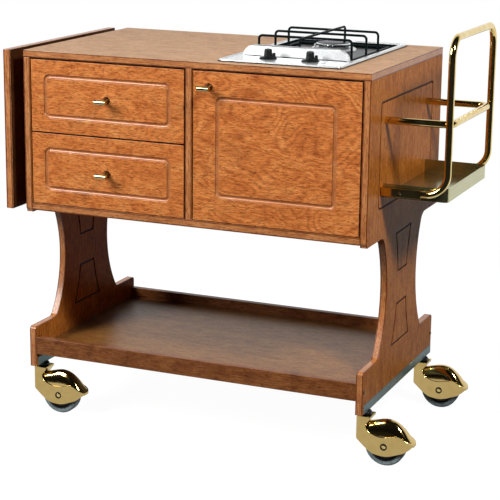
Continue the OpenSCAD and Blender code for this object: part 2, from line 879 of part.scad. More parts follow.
// Square sleeve that carries one end of the loop
module handle_sleeve() {
    skin = 1;
    difference() {
        translate([0, -sleeve_s / 2, -sleeve_s / 2]) cube([sleeve_len, sleeve_s, sleeve_s]);
        translate([6, 0, 0]) rotate([0, 90, 0]) cylinder(r = tube_r + run_fit, h = sleeve_len);
        translate([sleeve_len / 2, -sleeve_s / 2 - skin, 0]) rotate([-90, 0, 0])
            cylinder(r = 2.2 + run_fit, h = sleeve_s / 2);
    }
}

module handle_sleeves() {
    color(brass) place() {
        translate([cab_len, loop_front, loop_z]) handle_sleeve();
        translate([cab_len, loop_rear, loop_z]) mirror([0, 1, 0]) handle_sleeve();
    }
}

module sleeve_screw() {
    translate([sleeve_len / 2, -sleeve_s / 2, 0]) rotate([-90, 0, 0]) {
        cylinder(r = 2.2, h = 6);
        translate([0, 0, -1.4]) cylinder(r1 = 2.4, r2 = 3.4, h = 1.4);
    }
}

module sleeve_screws() {
    color(stainless) place() {
        translate([cab_len, loop_front, loop_z]) sleeve_screw();
        translate([cab_len, loop_rear, loop_z]) mirror([0, 1, 0]) sleeve_screw();
    }
}

tray_front = loop_front + sleeve_s / 2 + seat_gap;
tray_d = loop_w - sleeve_s - 2 * seat_gap;

// Shallow brass tray between the sleeves, open towards the end panel
module bottle_tray() {
    low = z_cab + tray_up - tray_t;
    corner = 12;
    color(satin_brass) place() translate([cab_len, tray_front, low]) difference() {
        linear_extrude(height = tray_lip + tray_t) intersection() {
            translate([-corner, 0]) round_rect(loop_out + corner, tray_d, corner);
            square([loop_out, tray_d]);
        }
        translate([-1, 0, tray_t]) linear_extrude(height = tray_lip + 1) intersection() {
            translate([-corner, tray_t])
                round_rect(loop_out + corner + 1 - tray_t, tray_d - 2 * tray_t, corner - tray_t);
            translate([0, tray_t]) square([loop_out + 1, tray_d - 2 * tray_t]);
        }
    }
}

// Stainless hob plate: rim, control field and the opening for the well
module hob_plate() {
    skin = 1;
    color(stainless) place() difference() {
        translate([hob_x - hob_w / 2, hob_front, z_top])
            linear_extrude(height = hob_t) round_rect(hob_w, hob_d, 12);
        translate([hob_x - well_x, well_front, z_top - skin])
            linear_extrude(height = hob_t + 2 * skin) round_rect(2 * well_x, well_back - well_front, 10);
        for (s = [-1, 1]) translate([hob_x + s * knob_gap / 2, knob_y, z_top - skin])
            cylinder(r = spindle_r + run_fit, h = hob_t + 2 * skin);
        translate([button_x, button_y, z_top - skin])
            cylinder(r = button_r + run_fit, h = hob_t + 2 * skin);
    }
}
spindle_r = 4;

// Ridge behind the controls, with rounded shoulders and a sloping front
module hob_ridge() {
    half = well_x - 4;
    shoulder = ridge_h - 2;
    y0 = well_front - ridge_t - 2;
    color(stainless) place() intersection() {
        translate([hob_x - half, 0, 0]) across(2 * half) polygon([
            [y0, hob_rim_z], [y0 + ridge_t, hob_rim_z], [y0 + ridge_t, hob_rim_z + ridge_h - 2],
            [y0 + ridge_t - 2, hob_rim_z + ridge_h], [y0 + ridge_t / 2, hob_rim_z + ridge_h],
            [y0 + ridge_t / 2 - 3, hob_rim_z + ridge_h - 2]]);
        translate([hob_x - half, y0 - 1, hob_rim_z]) along(ridge_t + 2) union() {
            translate([shoulder, 0]) square([2 * half - 2 * shoulder, ridge_h]);
            for (x = [shoulder, 2 * half - shoulder]) intersection() {
                translate([x, 0]) circle(r = shoulder);
                translate([x - shoulder, 0]) square([2 * shoulder, shoulder]);
            }
        }
    }
}

// Enamelled well that catches spills, with a round hole for each burner
module hob_well() {
    skin = 1;
    w = 2 * well_x;
    d = well_back - well_front;
    color(enamel) place() difference() {
        translate([hob_x - well_x, well_front, well_z - sheet])
            linear_extrude(height = well_deep + sheet) round_rect(w, d, 10);
        translate([hob_x - well_x + sheet, well_front + sheet, well_z])
            linear_extrude(height = well_deep + skin) round_rect(w - 2 * sheet, d - 2 * sheet, 8.5);
        translate([hob_x, small_y, well_z - sheet - skin])
            cylinder(r = burner_small_r * 0.7 + seat_gap, h = sheet + 2 * skin);
        translate([hob_x, large_y, well_z - sheet - skin])
            cylinder(r = burner_large_r * 0.7 + seat_gap, h = sheet + 2 * skin);
    }
}

// Steel box that closes the hob below the worktop
module burner_box() {
    room = 2;
    w = 2 * (cut_x - room);
    d = cut_back - cut_front - 2 * room;
    h = well_z - sheet - seat_gap - box_z;
    color(steel) place() difference() {
        translate([hob_x - w / 2, cut_front + room, box_z])
            linear_extrude(height = h) round_rect(w, d, 8);
        translate([hob_x - w / 2 + sheet, cut_front + room + sheet, box_z + sheet])
            linear_extrude(height = h) round_rect(w - 2 * sheet, d - 2 * sheet, 8 - sheet);
        translate([hob_x + inlet_x, cut_back - 10, inlet_z]) rotate([-90, 0, 0])
            cylinder(r = inlet_r + run_fit, h = 20);
    }
}
box_z = z_top - burner_box_h;
inlet_x = 60;
inlet_r = 6;
inlet_z = box_z + 18;

ports = 16;
port_w = 2;
port_deep = 4;

// Burner body: a mixing cup below the well and a crown with gas ports above it
module burner_body(r) {
    skin = 1;
    difference() {
        rotate_extrude() polygon([
            [0, -cup_h], [r * 0.45, -cup_h], [r * 0.7, -cup_h * 0.3], [r * 0.7, 0], [r, 0],
            [r, crown_h / 4], [r * 0.86, crown_h * 0.42], [r * 0.86, crown_h], [0, crown_h]]);
        for (i = [0:ports - 1]) rotate([0, 0, i * 360 / ports])
            translate([r * 0.62, -port_w / 2, crown_h - port_deep]) cube([r, port_w, port_deep + skin]);
    }
}

module burner_bodies() {
    color(alloy) place() {
        translate([hob_x, small_y, well_z]) burner_body(burner_small_r);
        translate([hob_x, large_y, well_z]) burner_body(burner_large_r);
    }
}

module burner_cap(r) {
    rotate_extrude() polygon([
        [0, 0], [r * 0.92, 0], [r, cap_h * 0.19], [r, cap_h * 0.44], [r * 0.93, cap_h * 0.69],
        [r * 0.7, cap_h * 0.88], [0, cap_h]]);
}

module burner_caps() {
    color(enamel) place() {
        translate([hob_x, small_y, well_z + crown_h]) burner_cap(burner_small_r);
        translate([hob_x, large_y, well_z + crown_h]) burner_cap(burner_large_r);
    }
}

// Ceramic spark plug beside each burner
module spark_plugs() {
    color("white") place() for (b = [[small_y, burner_small_r], [large_y, burner_large_r]])
        translate([hob_x - b[1] - 6, b[0], well_z]) {
            cylinder(r = 3, h = 9);
            cylinder(r = 1, h = 13);
        }
}

// Wire arch across the hob: a bar with rounded corners on two legs
module wire_arch(w, h) {
    bend = 9;
    for (s = [-1, 1]) translate([s * w / 2, 0, 0]) {
        cylinder(r = wire_r, h = h - bend);
        translate([-s * bend, 0, h - bend]) rotate([90, 0, 0])
            rotate([0, 0, s > 0 ? 0 : 90]) rotate_extrude(angle = 90)
                translate([bend, 0]) circle(r = wire_r, $fn = 32);
    }
    translate([-w / 2 + bend, 0, h]) rotate([0, 90, 0]) cylinder(r = wire_r, h = w - 2 * bend);
}

arch_places = [small_y - 42, small_y + 64, large_y - 7];

// Wire pan support: three cross arches and one long arch on a base frame
module pan_support() {
    frame_y = well_front + 12;
    frame_d = hob_back - 42 - frame_y;
    low = well_z + wire_r;
    high = hob_rim_z + pan_up - wire_r;
    color(enamel) place() translate([hob_x, 0, low]) {
        for (y = arch_places) translate([0, y, 0]) wire_arch(pan_w, high - low);
        translate([0, frame_y + frame_d / 2, 0]) rotate([0, 0, 90]) wire_arch(frame_d, high - low);
        for (s = [-1, 1]) {
            translate([s * pan_w / 2, frame_y, 0]) rotate([-90, 0, 0]) cylinder(r = wire_r, h = frame_d);
            translate([-pan_w / 2, frame_y + frame_d / 2 + s * frame_d / 2, 0]) rotate([0, 90, 0])
                cylinder(r = wire_r, h = pan_w);
            for (t = [-1, 1]) translate([s * pan_w / 2, frame_y + frame_d / 2 + t * frame_d / 2, 0])
                sphere(r = wire_r);
        }
    }
}

// Control knob: skirt, round grip and index post, on a spindle
module hob_knob(x) {
    color(black_plastic) place() translate([x, knob_y, hob_rim_z + seat_gap]) {
        rotate_extrude() polygon([
            [0, 0], [hob_knob_r, 0], [hob_knob_r, 2], [hob_knob_r - 3, 5], [10.5, 6.5], [9.6, 12],
            [9.2, hob_grip_h - 4], [7.5, hob_grip_h - 1], [4, hob_grip_h], [0, hob_grip_h]]);
        translate([hob_knob_r - 6, 0, 3]) cylinder(r1 = 4.6, r2 = 3.4, h = hob_grip_h * 0.62 - 3);
        translate([0, 0, -14]) cylinder(r = spindle_r, h = 15);
    }
}

module hob_knob_left() hob_knob(hob_x - knob_gap / 2);
module hob_knob_right() hob_knob(hob_x + knob_gap / 2);

module ignition_button() {
    color(black_plastic) place() translate([button_x, button_y, z_top - 10])
        rotate_extrude() polygon([
            [0, 0], [button_r - 2, 0], [button_r - 2, 2], [button_r, 2],
            [button_r, 9 + hob_t], [button_r - 1, 10 + hob_t], [0, 10.6 + hob_t]]);
}

// Brass gas inlet with a hose tail behind the burner box
module gas_inlet() {
    color(brass) place() translate([hob_x + inlet_x, cut_back - 2 - sheet - 6, inlet_z])
        rotate([-90, 0, 0]) rotate_extrude() polygon([
            [0, 0], [inlet_r, 0], [inlet_r, 6 + sheet + seat_gap], [inlet_r + 3, 6 + sheet + seat_gap],
            [inlet_r + 3, 14], [inlet_r - 1, 14], [inlet_r - 2, 22], [0, 22]]);
}

// Stem with the black swivel cap, pressed into the rail and the foot
module caster_stem() {
    rotate_extrude() polygon([
        [0, -swivel_h - stem_down], [stem_r, -swivel_h - stem_down], [stem_r, -swivel_h],
        [swivel_r - 2, -swivel_h], [swivel_r, -swivel_h + 2], [swivel_r, -2.5], [swivel_r - 2.5, 0],
        [stem_r, 0], [stem_r, rail_h + stem_in_foot - 2], [0, rail_h + stem_in_foot - 2]]);
}
stem_down = 22;

module caster_stems() {
    color(black_plastic) place() for (c = corners) translate([c[0], c[1], caster_h]) caster_stem();
}

// Point on a smooth curve through the points p, at u from 0 to 1
function curve_point(p, u) =
    let (n = len(p) - 1, s = min(floor(u * n), n - 1), t = u * n - s,
         a = p[max(s - 1, 0)], b = p[s], c = p[s + 1], d = p[min(s + 2, n)])
    0.5 * (2 * b + (c - a) * t + (2 * a - 5 * b + 4 * c - d) * t * t
           + (3 * b - a - 3 * c + d) * t * t * t);

function curve(p, steps) = [for (i = [0:steps]) curve_point(p, i / steps)];

// The hood, seen from its side. x runs from the stem axis, z from the axle's height.
neck_top = axle_drop - swivel_h - seat_gap;
cheek_edge = [[9.5, 49.5], [14, 37], [27, 28.5], [44, 23.7], [61, 24.5], [78, 28.5], [92, 31],
              [105, 25.5], [116, 19], [127, 11.5]];
cheek_low = [[127, 11.5], [122, 4], [106, -8.3], [89, -15.6], [72, -21.8], [56, -24.3],
             [36, -22.3], [21, -16.5], [5, -4.5], [-7, 6.3]];
dome_top = [[10, 52], [18, 55], [32, 59], [48, 63], [63, 64], [79, 60], [92, 51.5],
            [104, 39.5], [115, 25], [125, 13]];
neck_back = 16;
neck_front = 21;

// Flat cheek: it fills the neck up to its top, with a notch where the S-shaped edge starts
module cheek_outline() {
    steps = 36;
    step_h = 5;
    low = curve(cheek_low, steps);
    polygon(concat(
        [[-neck_back, neck_top], [neck_front, neck_top], [neck_front, neck_top - step_h]],
        curve(cheek_edge, steps),
        [for (i = [1:steps]) low[i]],
        [[-neck_back, 14]]));
}

// Domed shell between the cheeks: each section is a full arch from edge to edge, and the
// sections narrow towards the stem
module hood_dome() {
    n = 16;
    m = 12;
    full = 2 / 3;
    low = curve([for (p = cheek_edge) [p[0], p[1] - 6]], n);
    high = curve(dome_top, n);
    points = [for (i = [0:n], j = [0:m])
        let (half = hood_w / 2 - 1.5 - 5 * pow(1 - min(i / 4, 1), 2),
             side = half * sign(cos(j * 180 / m)) * pow(abs(cos(j * 180 / m)), full),
             rise = pow(sin(j * 180 / m), full),
             p = low[i] + (high[i] - low[i]) * rise)
        [p[0], side, p[1]]];
    row = m + 1;
    faces = concat(
        [for (i = [0:n - 1], j = [0:m - 1]) [i * row + j, (i + 1) * row + j + 1, i * row + j + 1]],
        [for (i = [0:n - 1], j = [0:m - 1]) [i * row + j, (i + 1) * row + j, (i + 1) * row + j + 1]],
        [for (i = [0:n - 1]) [i * row, (i + 1) * row + m, (i + 1) * row]],
        [for (i = [0:n - 1]) [i * row, i * row + m, (i + 1) * row + m]],
        [for (j = [1:m - 1]) [0, j, j + 1]],
        [for (j = [1:m - 1]) [n * row, n * row + j + 1, n * row + j]]);
    polyhedron(points = points, faces = faces);
}

// The hood's outline from above, with small corners at the stem and wide ones at the nose
module hood_plan() {
    nose = cheek_edge[len(cheek_edge) - 1][0];
    nose_corner = 15;
    neck_corner = 9;
    long = nose + neck_back;
    translate([-neck_back, -hood_w / 2]) {
        intersection() {
            round_rect(long, hood_w, neck_corner);
            square([long / 2, hood_w]);
        }
        translate([long / 2 - 1, 0]) intersection() {
            translate([-long / 2, 0]) round_rect(long + 1, hood_w, nose_corner);
            square([long, hood_w]);
        }
    }
}

// Hooded fork: stem housing, two cheeks and the dome, with the axle through the cheeks
module caster_hood() {
    skin = 1;
    half_gap = hood_w / 2 - cheek_t;
    pocket_r = wheel_r + 3;
    soft = 8;
    recess = 1.2;
    difference() {
        intersection() {
            union() {
                translate([0, -hood_w / 2, 0]) along(hood_w) cheek_outline();
                hood_dome();
            }
            translate([0, 0, -wheel_r]) linear_extrude(height = 2 * wheel_r + 20) hood_plan();
        }
        translate([0, 0, neck_top - stem_down - 2]) cylinder(r = stem_r + run_fit, h = stem_down + 2 + skin);
        translate([trail, 0, 0]) rotate([90, 0, 0]) rotate_extrude() {
            translate([0, -half_gap]) square([pocket_r - soft, 2 * half_gap]);
            translate([0, -half_gap + soft]) square([pocket_r, 2 * half_gap - 2 * soft]);
            for (s = [-1, 1]) translate([pocket_r - soft, s * (half_gap - soft)]) circle(r = soft, $fn = 40);
        }
        for (s = [-1, 1]) translate([trail, s * (hood_w / 2 - recess), 0]) rotate([-90 * s, 0, 0])
            cylinder(r = axle_r + 4, h = recess + skin);
    }
    translate([trail, 0, 0]) rotate([90, 0, 0])
        cylinder(r = axle_r, h = hood_w - recess, center = true);
}

module caster_hood_at(c) {
    color(brass) place() translate([c[0], c[1], wheel_r]) caster_hood();
}

module caster_hood_fl() caster_hood_at(corners[0]);
module caster_hood_fr() caster_hood_at(corners[1]);
module caster_hood_rl() caster_hood_at(corners[2]);
module caster_hood_rr() caster_hood_at(corners[3]);

tyre_t = 11;

// Black wheel hub with a running bore and a dished face
module caster_hub(c) {
    r = wheel_r - tyre_t;
    h = wheel_w / 2;
    color(black_plastic) place() translate([c[0] + trail, c[1], wheel_r]) rotate([90, 0, 0])
        rotate_extrude() polygon([
            [axle_r + run_fit, -h - 0.6], [axle_r + 5, -h - 0.6], [axle_r + 7, -h + 5], [r - 6, -h + 5],
            [r - 3, -h + 1], [r, -h + 1], [r, h - 1], [r - 3, h - 1], [r - 6, h - 5],
            [axle_r + 7, h - 5], [axle_r + 5, h + 0.6], [axle_r + run_fit, h + 0.6]]);
}

module caster_hub_fl() caster_hub(corners[0]);
module caster_hub_fr() caster_hub(corners[1]);
module caster_hub_rl() caster_hub(corners[2]);
module caster_hub_rr() caster_hub(corners[3]);

module caster_tyre(c) {
    r = wheel_r - tyre_t;
    h = wheel_w / 2;
    color(rubber) place() translate([c[0] + trail, c[1], wheel_r]) rotate([90, 0, 0])
        rotate_extrude() union() {
            translate([r, -h]) square([tyre_t - 5, 2 * h]);
            translate([r, -h + 5]) square([tyre_t, 2 * h - 10]);
            for (s = [-1, 1]) translate([wheel_r - 5, s * (h - 5)]) circle(r = 5, $fn = 40);
        }
}

module caster_tyre_fl() caster_tyre(corners[0]);
module caster_tyre_fr() caster_tyre(corners[1]);
module caster_tyre_rl() caster_tyre(corners[2]);
module caster_tyre_rr() caster_tyre(corners[3]);

worktop();
end_panel_left();
end_panel_right();
divider();
cabinet_floor();
cabinet_back();
lower_shelf();
shelf_lips();
base_rails();
shelf_bolts();
drawer_runners();
upper_drawer_front();
upper_drawer_box();
upper_drawer_base();
upper_drawer_knob();
upper_drawer_slides();
lower_drawer_front();
lower_drawer_box();
lower_drawer_base();
lower_drawer_knob();
lower_drawer_slides();
door();
door_knob();
door_pivots();
door_catch();
drop_leaf();
leaf_arms();
leaf_brackets();
leaf_braces();
leaf_pivot_pins();
handle_loop();
middle_rail();
handle_sleeves();
sleeve_screws();
bottle_tray();
hob_plate();
hob_ridge();
hob_well();
burner_box();
burner_bodies();
burner_caps();
spark_plugs();
pan_support();
hob_knob_left();
hob_knob_right();
ignition_button();
gas_inlet();
caster_stems();
caster_hood_fl();
caster_hood_fr();
caster_hood_rl();
caster_hood_rr();
caster_hub_fl();
caster_hub_fr();
caster_hub_rl();
caster_hub_rr();
caster_tyre_fl();
caster_tyre_fr();
caster_tyre_rl();
caster_tyre_rr();
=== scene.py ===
"""Looks of a flambe cart: veneered cabinet and legs, brass rail and casters, steel gas hob."""
import math

import bmesh
import bpy
from mathutils import Matrix, Vector


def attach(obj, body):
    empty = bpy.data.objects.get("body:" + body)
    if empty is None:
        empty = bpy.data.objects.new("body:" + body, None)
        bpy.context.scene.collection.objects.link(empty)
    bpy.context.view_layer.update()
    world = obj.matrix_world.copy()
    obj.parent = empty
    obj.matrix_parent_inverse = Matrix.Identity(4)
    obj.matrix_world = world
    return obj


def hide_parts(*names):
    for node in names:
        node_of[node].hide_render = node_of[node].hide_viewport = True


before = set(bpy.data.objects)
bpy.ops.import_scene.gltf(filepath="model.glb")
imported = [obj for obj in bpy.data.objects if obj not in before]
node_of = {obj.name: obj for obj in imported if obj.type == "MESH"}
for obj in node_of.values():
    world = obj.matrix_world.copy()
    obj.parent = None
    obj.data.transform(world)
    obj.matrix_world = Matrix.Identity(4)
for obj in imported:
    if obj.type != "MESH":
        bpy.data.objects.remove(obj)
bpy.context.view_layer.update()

MM = 0.001

# Places and sizes of the cart's main parts, in millimetres, with the origin on the floor
LEFT, RIGHT = -504.25, 395.75
FRONT, BACK = -260.1, 297.9
WORKTOP = 941.0
BOARD = 18.0
CABINET_LOW = WORKTOP - 399.0
DIVIDER = RIGHT - 462.0
LEAF_OUTSIDE = LEFT - 57.0
HOB_LEFT, HOB_RIGHT, HOB_REAR = 2.7, 309.7, 266.9
HOB_FRONT = FRONT + 31.0
HOB_X = RIGHT - 239.5
HOB_TOP = WORKTOP + 4.0
WELL_Z = HOB_TOP - 8.0
SMALL_Y, LARGE_Y = HOB_FRONT + 212.0, HOB_FRONT + 372.0
RIDGE_FRONT, RIDGE_LEFT, RIDGE_RIGHT = -123.1, 23.1, 289.4
WHEEL_R, TRAIL = 50.0, 56.0
STEM_X, STEM_Y = 9.0, 51.0
STEMS = {"fl": (LEFT + STEM_X, FRONT + STEM_Y), "fr": (RIGHT - STEM_X, FRONT + STEM_Y),
         "rl": (LEFT + STEM_X, BACK - STEM_Y), "rr": (RIGHT - STEM_X, BACK - STEM_Y)}


# ---- colours and nodes ----

def linear(code):
    """sRGB hex colour as linear red, green, blue, alpha."""
    parts = [int(code[i:i + 2], 16) / 255 for i in (1, 3, 5)]
    light = (c / 12.92 if c <= 0.04045 else ((c + 0.055) / 1.055) ** 2.4 for c in parts)
    return (*light, 1.0)


def add(tree, kind, inputs=None, stops=None, **settings):
    """Adds a node: settings are its properties, inputs its socket values or links, and stops
    the places and colours of its ramp."""
    node = tree.nodes.new(kind)
    for key, value in settings.items():
        setattr(node, key, value)
    for key, value in (inputs or {}).items():
        if isinstance(value, bpy.types.NodeSocket):
            tree.links.new(value, node.inputs[key])
        else:
            node.inputs[key].default_value = value
    for i, (place, code) in enumerate(stops or []):
        bar = node.color_ramp.elements
        stop = bar[i] if i < 2 else bar.new(place)
        stop.position = place
        stop.color = linear(code)
    return node


def start(name, **values):
    """New material with constant values set on the shader's own sockets."""
    made = bpy.data.materials.new(name)
    made.use_nodes = True
    shader = made.node_tree.nodes["Principled BSDF"]
    for key, value in values.items():
        shader.inputs[key.replace("_", " ")].default_value = value
    return made, made.node_tree, shader


def darkened(tree, colour, share, height, stops):
    """Multiplies a colour by the ramp of a height, as far as share says."""
    ramp = add(tree, "ShaderNodeValToRGB", {0: height}, stops)
    mixed = add(tree, "ShaderNodeMix", {0: share, 6: colour, 7: ramp.outputs[0]},
                data_type="RGBA", blend_type="MULTIPLY")
    return mixed.outputs[2]


def wood_figure(tree, shader, grain, shades, curl, lines, pores, stretch, swirl, rough):
    """Sliced veneer. grain is the axis the fibres run along, shades its dark, middle and light
    colour. The cloudy figure is about 60 by 35 mm, the growth lines about 3 mm apart, bent by
    curl metres and drawn out stretch times, and the pores are drawn 2 mm wide so that they show.
    lines, pores and swirl are how strongly each shows; swirl is the arched growth rings of a flat
    cut, the contour lines of slow hills. rough is the roughness in and beside the lines."""
    def along(rate, across):
        return tuple(rate if axis == grain else across for axis in "XYZ")

    dark, mid, light = shades
    place = add(tree, "ShaderNodeTexCoord").outputs["Object"]
    cloud_at = add(tree, "ShaderNodeMapping", {"Vector": place, "Scale": along(16, 28)})
    cloud = add(tree, "ShaderNodeTexNoise", {"Vector": cloud_at.outputs[0], "Scale": 1.0,
                                             "Detail": 5.0, "Roughness": 0.6, "Distortion": 0.8})
    centred = add(tree, "ShaderNodeVectorMath", {0: cloud.outputs["Color"], 1: (0.5, 0.5, 0.5)},
                  operation="SUBTRACT")
    drift = add(tree, "ShaderNodeVectorMath", {0: centred.outputs[0], "Scale": curl},
                operation="SCALE")
    bent = add(tree, "ShaderNodeVectorMath", {0: place, 1: drift.outputs[0]}, operation="ADD")
    line_at = add(tree, "ShaderNodeMapping", {"Vector": bent.outputs[0],
                                              "Scale": along(300 / stretch, 300)})
    line = add(tree, "ShaderNodeTexNoise", {"Vector": line_at.outputs[0], "Scale": 1.0,
                                            "Detail": 4.0, "Roughness": 0.65})
    pore_at = add(tree, "ShaderNodeMapping", {"Vector": bent.outputs[0], "Scale": along(90, 520)})
    pore = add(tree, "ShaderNodeTexNoise", {"Vector": pore_at.outputs[0], "Scale": 1.0,
                                            "Detail": 2.0})
    base = add(tree, "ShaderNodeValToRGB", {0: cloud.outputs["Fac"]},
               [(0.30, dark), (0.70, light), (0.48, mid)])
    colour = darkened(tree, base.outputs[0], lines, line.outputs["Fac"],
                      [(0.36, "#B08A66"), (0.58, "#FFFFFF")])
    colour = darkened(tree, colour, pores, pore.outputs["Fac"],
                      [(0.36, "#7A5030"), (0.46, "#FFFFFF")])
    if swirl:
        hill_at = add(tree, "ShaderNodeMapping", {"Vector": bent.outputs[0],
                                                  "Scale": along(4.5, 9.0)})
        hill = add(tree, "ShaderNodeTexNoise", {"Vector": hill_at.outputs[0], "Scale": 1.0,
                                                "Detail": 2.0, "Roughness": 0.35,
                                                "Distortion": 0.5})
        level = add(tree, "ShaderNodeMath", {0: hill.outputs["Fac"], 1: 24.0}, operation="MULTIPLY")
        fold = add(tree, "ShaderNodeMath", {0: level.outputs[0], 1: 0.5}, operation="PINGPONG")
        colour = darkened(tree, colour, swirl, fold.outputs[0],
                          [(0.02, "#9A5A34"), (0.3, "#FFFFFF")])
    tree.links.new(colour, shader.inputs["Base Color"])
    gloss = add(tree, "ShaderNodeMapRange", {0: line.outputs["Fac"], 3: rough[0], 4: rough[1]})
    tree.links.new(gloss.outputs[0], shader.inputs["Roughness"])
    relief = add(tree, "ShaderNodeBump", {"Height": line.outputs["Fac"], "Strength": 0.12,
                                          "Distance": 0.0004})
    tree.links.new(relief.outputs[0], shader.inputs["Normal"])
    return colour


def veneer(name, grain, shades, curl, lines, pores, stretch=6.0, swirl=0.0, rough=(0.42, 0.3),
           **values):
    """Material of a sliced veneer; values are the shader's constants."""
    made, tree, shader = start(name, **values)
    wood_figure(tree, shader, grain, shades, curl, lines, pores, stretch, swirl, rough)
    return made


def mottled(name, noise, stops, rough=None, stretch=None, bump=None, **values):
    """Material coloured by a noise, whose socket values noise gives. rough is the roughness at
    its two ends, stretch its rate along each axis where it is drawn out, bump the strength and
    the height in metres of its relief, and values the shader's constants."""
    made, tree, shader = start(name, **values)
    place = add(tree, "ShaderNodeTexCoord").outputs["Object"]
    if stretch:
        place = add(tree, "ShaderNodeMapping", {"Vector": place, "Scale": stretch}).outputs[0]
    field = add(tree, "ShaderNodeTexNoise", {"Vector": place, **noise}).outputs["Fac"]
    tone = add(tree, "ShaderNodeValToRGB", {0: field}, stops)
    tree.links.new(tone.outputs[0], shader.inputs["Base Color"])
    if rough:
        gloss = add(tree, "ShaderNodeMapRange", {0: field, 3: rough[0], 4: rough[1]})
        tree.links.new(gloss.outputs[0], shader.inputs["Roughness"])
    if bump:
        relief = add(tree, "ShaderNodeBump", {"Height": field, "Strength": bump[0],
                                              "Distance": bump[1]})
        tree.links.new(relief.outputs[0], shader.inputs["Normal"])
    return made


# ---- materials ----

def stained_cherry_front(name, swirl):
    """Curly veneer stained honey orange under satin lacquer: small clouds, bent growth lines and
    arched rings, which show most on the door."""
    return veneer(name, "X", ("#CF763A", "#E18947", "#EC9C57"), 0.011, 0.6, 0.6, 9.0, swirl,
                  IOR=1.4, Specular_IOR_Level=0.35)


def top_veneer_painted_sheen(name, grain):
    """Veneer of the worktop and of the leaf that lengthens it, so the figure runs on when the leaf
    is up. Its colour is paled as painted sheen of the pale room, and its matt lacquer adds real
    sheen."""
    return veneer(name, grain, ("#C6986E", "#D0A276", "#D8AC80"),
                  0.005, 0.6, 0.5, 14.0, rough=(0.62, 0.52),
                  IOR=1.45, Coat_Weight=0.12, Coat_Roughness=0.5)


def lipping(name, grain, across, first):
    """Solid wood edge strip with a fine dark glue line near each side of the board. across is
    the axis over the board's thickness and first the place of one of its faces."""
    made, tree, shader = start(name, IOR=1.45, Coat_Weight=0.15, Coat_Roughness=0.18)
    wood = wood_figure(tree, shader, grain, ("#B87442", "#CA844E", "#D8945C"), 0.004, 0.6, 0.5,
                       12.0, 0.0, (0.42, 0.3))
    place = add(tree, "ShaderNodeTexCoord").outputs["Object"]
    split = add(tree, "ShaderNodeSeparateXYZ", {0: place})
    shifted = add(tree, "ShaderNodeMath", {0: split.outputs[across], 1: first * MM},
                  operation="SUBTRACT")
    share = add(tree, "ShaderNodeMath", {0: shifted.outputs[0], 1: BOARD * MM}, operation="DIVIDE")
    glued = darkened(tree, wood, 1.0, share.outputs[0],
                     [(0.03, "#B89078"), (0.97, "#B89078"), (0.1, "#6A4430"), (0.2, "#FFFFFF"),
                      (0.8, "#FFFFFF"), (0.9, "#6A4430")])
    tree.links.new(glued, shader.inputs["Base Color"])
    return made


def plywood_edge():
    """Cut edge of birch plywood: fine dark and pale plies, drawn a few millimetres apart."""
    made, tree, shader = start("plywood_edge", IOR=1.5, Roughness=0.6)
    place = add(tree, "ShaderNodeTexCoord").outputs["Object"]
    plies = add(tree, "ShaderNodeTexWave", {"Vector": place, "Scale": 110.0, "Distortion": 0.6,
                                            "Detail": 1.0}, bands_direction="DIAGONAL")
    tone = add(tree, "ShaderNodeValToRGB", {0: plies.outputs["Fac"]},
               [(0.25, "#8F6A40"), (0.6, "#DCC398")])
    tree.links.new(tone.outputs[0], shader.inputs["Base Color"])
    return made


def pull_brass(name, dark, light):
    """Turned brass of the pulls: pale on the bars, and darker on their feet as painted shade and
    painted dark reflection; the shelf bolts take the darker tone as their own colour."""
    return mottled(name, {"Scale": 260.0, "Detail": 3.0},
                   [(0.3, dark), (0.7, light)], (0.1, 0.2),
                   Metallic=1.0)


def lacquered_cast_brass():
    """Die-cast caster hood, buffed and lacquered: less flat than the tube, so its mirror ripples
    over about 30 mm."""
    made = mottled("lacquered_cast_brass", {"Scale": 60.0, "Detail": 4.0},
                   [(0.3, "#CBAE6C"), (0.7, "#D4B878")], (0.06, 0.13), Metallic=1.0)
    tree = made.node_tree
    place = add(tree, "ShaderNodeTexCoord").outputs["Object"]
    ripple = add(tree, "ShaderNodeTexNoise", {"Vector": place, "Scale": 30.0, "Detail": 1.0})
    wave = add(tree, "ShaderNodeBump", {"Height": ripple.outputs["Fac"], "Strength": 0.08,
                                        "Distance": 0.001})
    tree.links.new(wave.outputs[0], tree.nodes["Principled BSDF"].inputs["Normal"])
    return made


def grey_zinc_steel():
    """Galvanised and passivated steel of rails, slides and brackets: cool grey-green, patchy."""
    made, tree, shader = start("grey_zinc_steel", Metallic=0.85)
    place = add(tree, "ShaderNodeTexCoord").outputs["Object"]
    patch = add(tree, "ShaderNodeTexVoronoi", {"Vector": place, "Scale": 140.0})
    cloud = add(tree, "ShaderNodeTexNoise", {"Vector": place, "Scale": 22.0, "Detail": 3.0})
    both = add(tree, "ShaderNodeMix", {0: 0.35, 2: cloud.outputs["Fac"],
                                       3: patch.outputs["Distance"]})
    tone = add(tree, "ShaderNodeValToRGB", {0: both.outputs[0]},
               [(0.25, "#44585A"), (0.7, "#738886")])
    tree.links.new(tone.outputs[0], shader.inputs["Base Color"])
    gloss = add(tree, "ShaderNodeMapRange", {0: both.outputs[0], 3: 0.34, 4: 0.5})
    tree.links.new(gloss.outputs[0], shader.inputs["Roughness"])
    return made


DRAWER_WOOD = stained_cherry_front("cherry_on_drawers", 0.2)
DOOR_WOOD = stained_cherry_front("cherry_on_door", 0.36)
# Mid-brown veneer with upright grain on the end boards, under dull lacquer
SIDE_WOOD = veneer("stained_oak_side", "Z", ("#B86C2C", "#C87A32", "#D2863C"),
                   0.006, 0.65, 0.6, 14.0, IOR=1.3, Specular_IOR_Level=0.06)
TOP_WOOD = top_veneer_painted_sheen("top_veneer_painted_sheen", "X")
LEAF_WOOD = top_veneer_painted_sheen("leaf_veneer_painted_sheen", "Z")
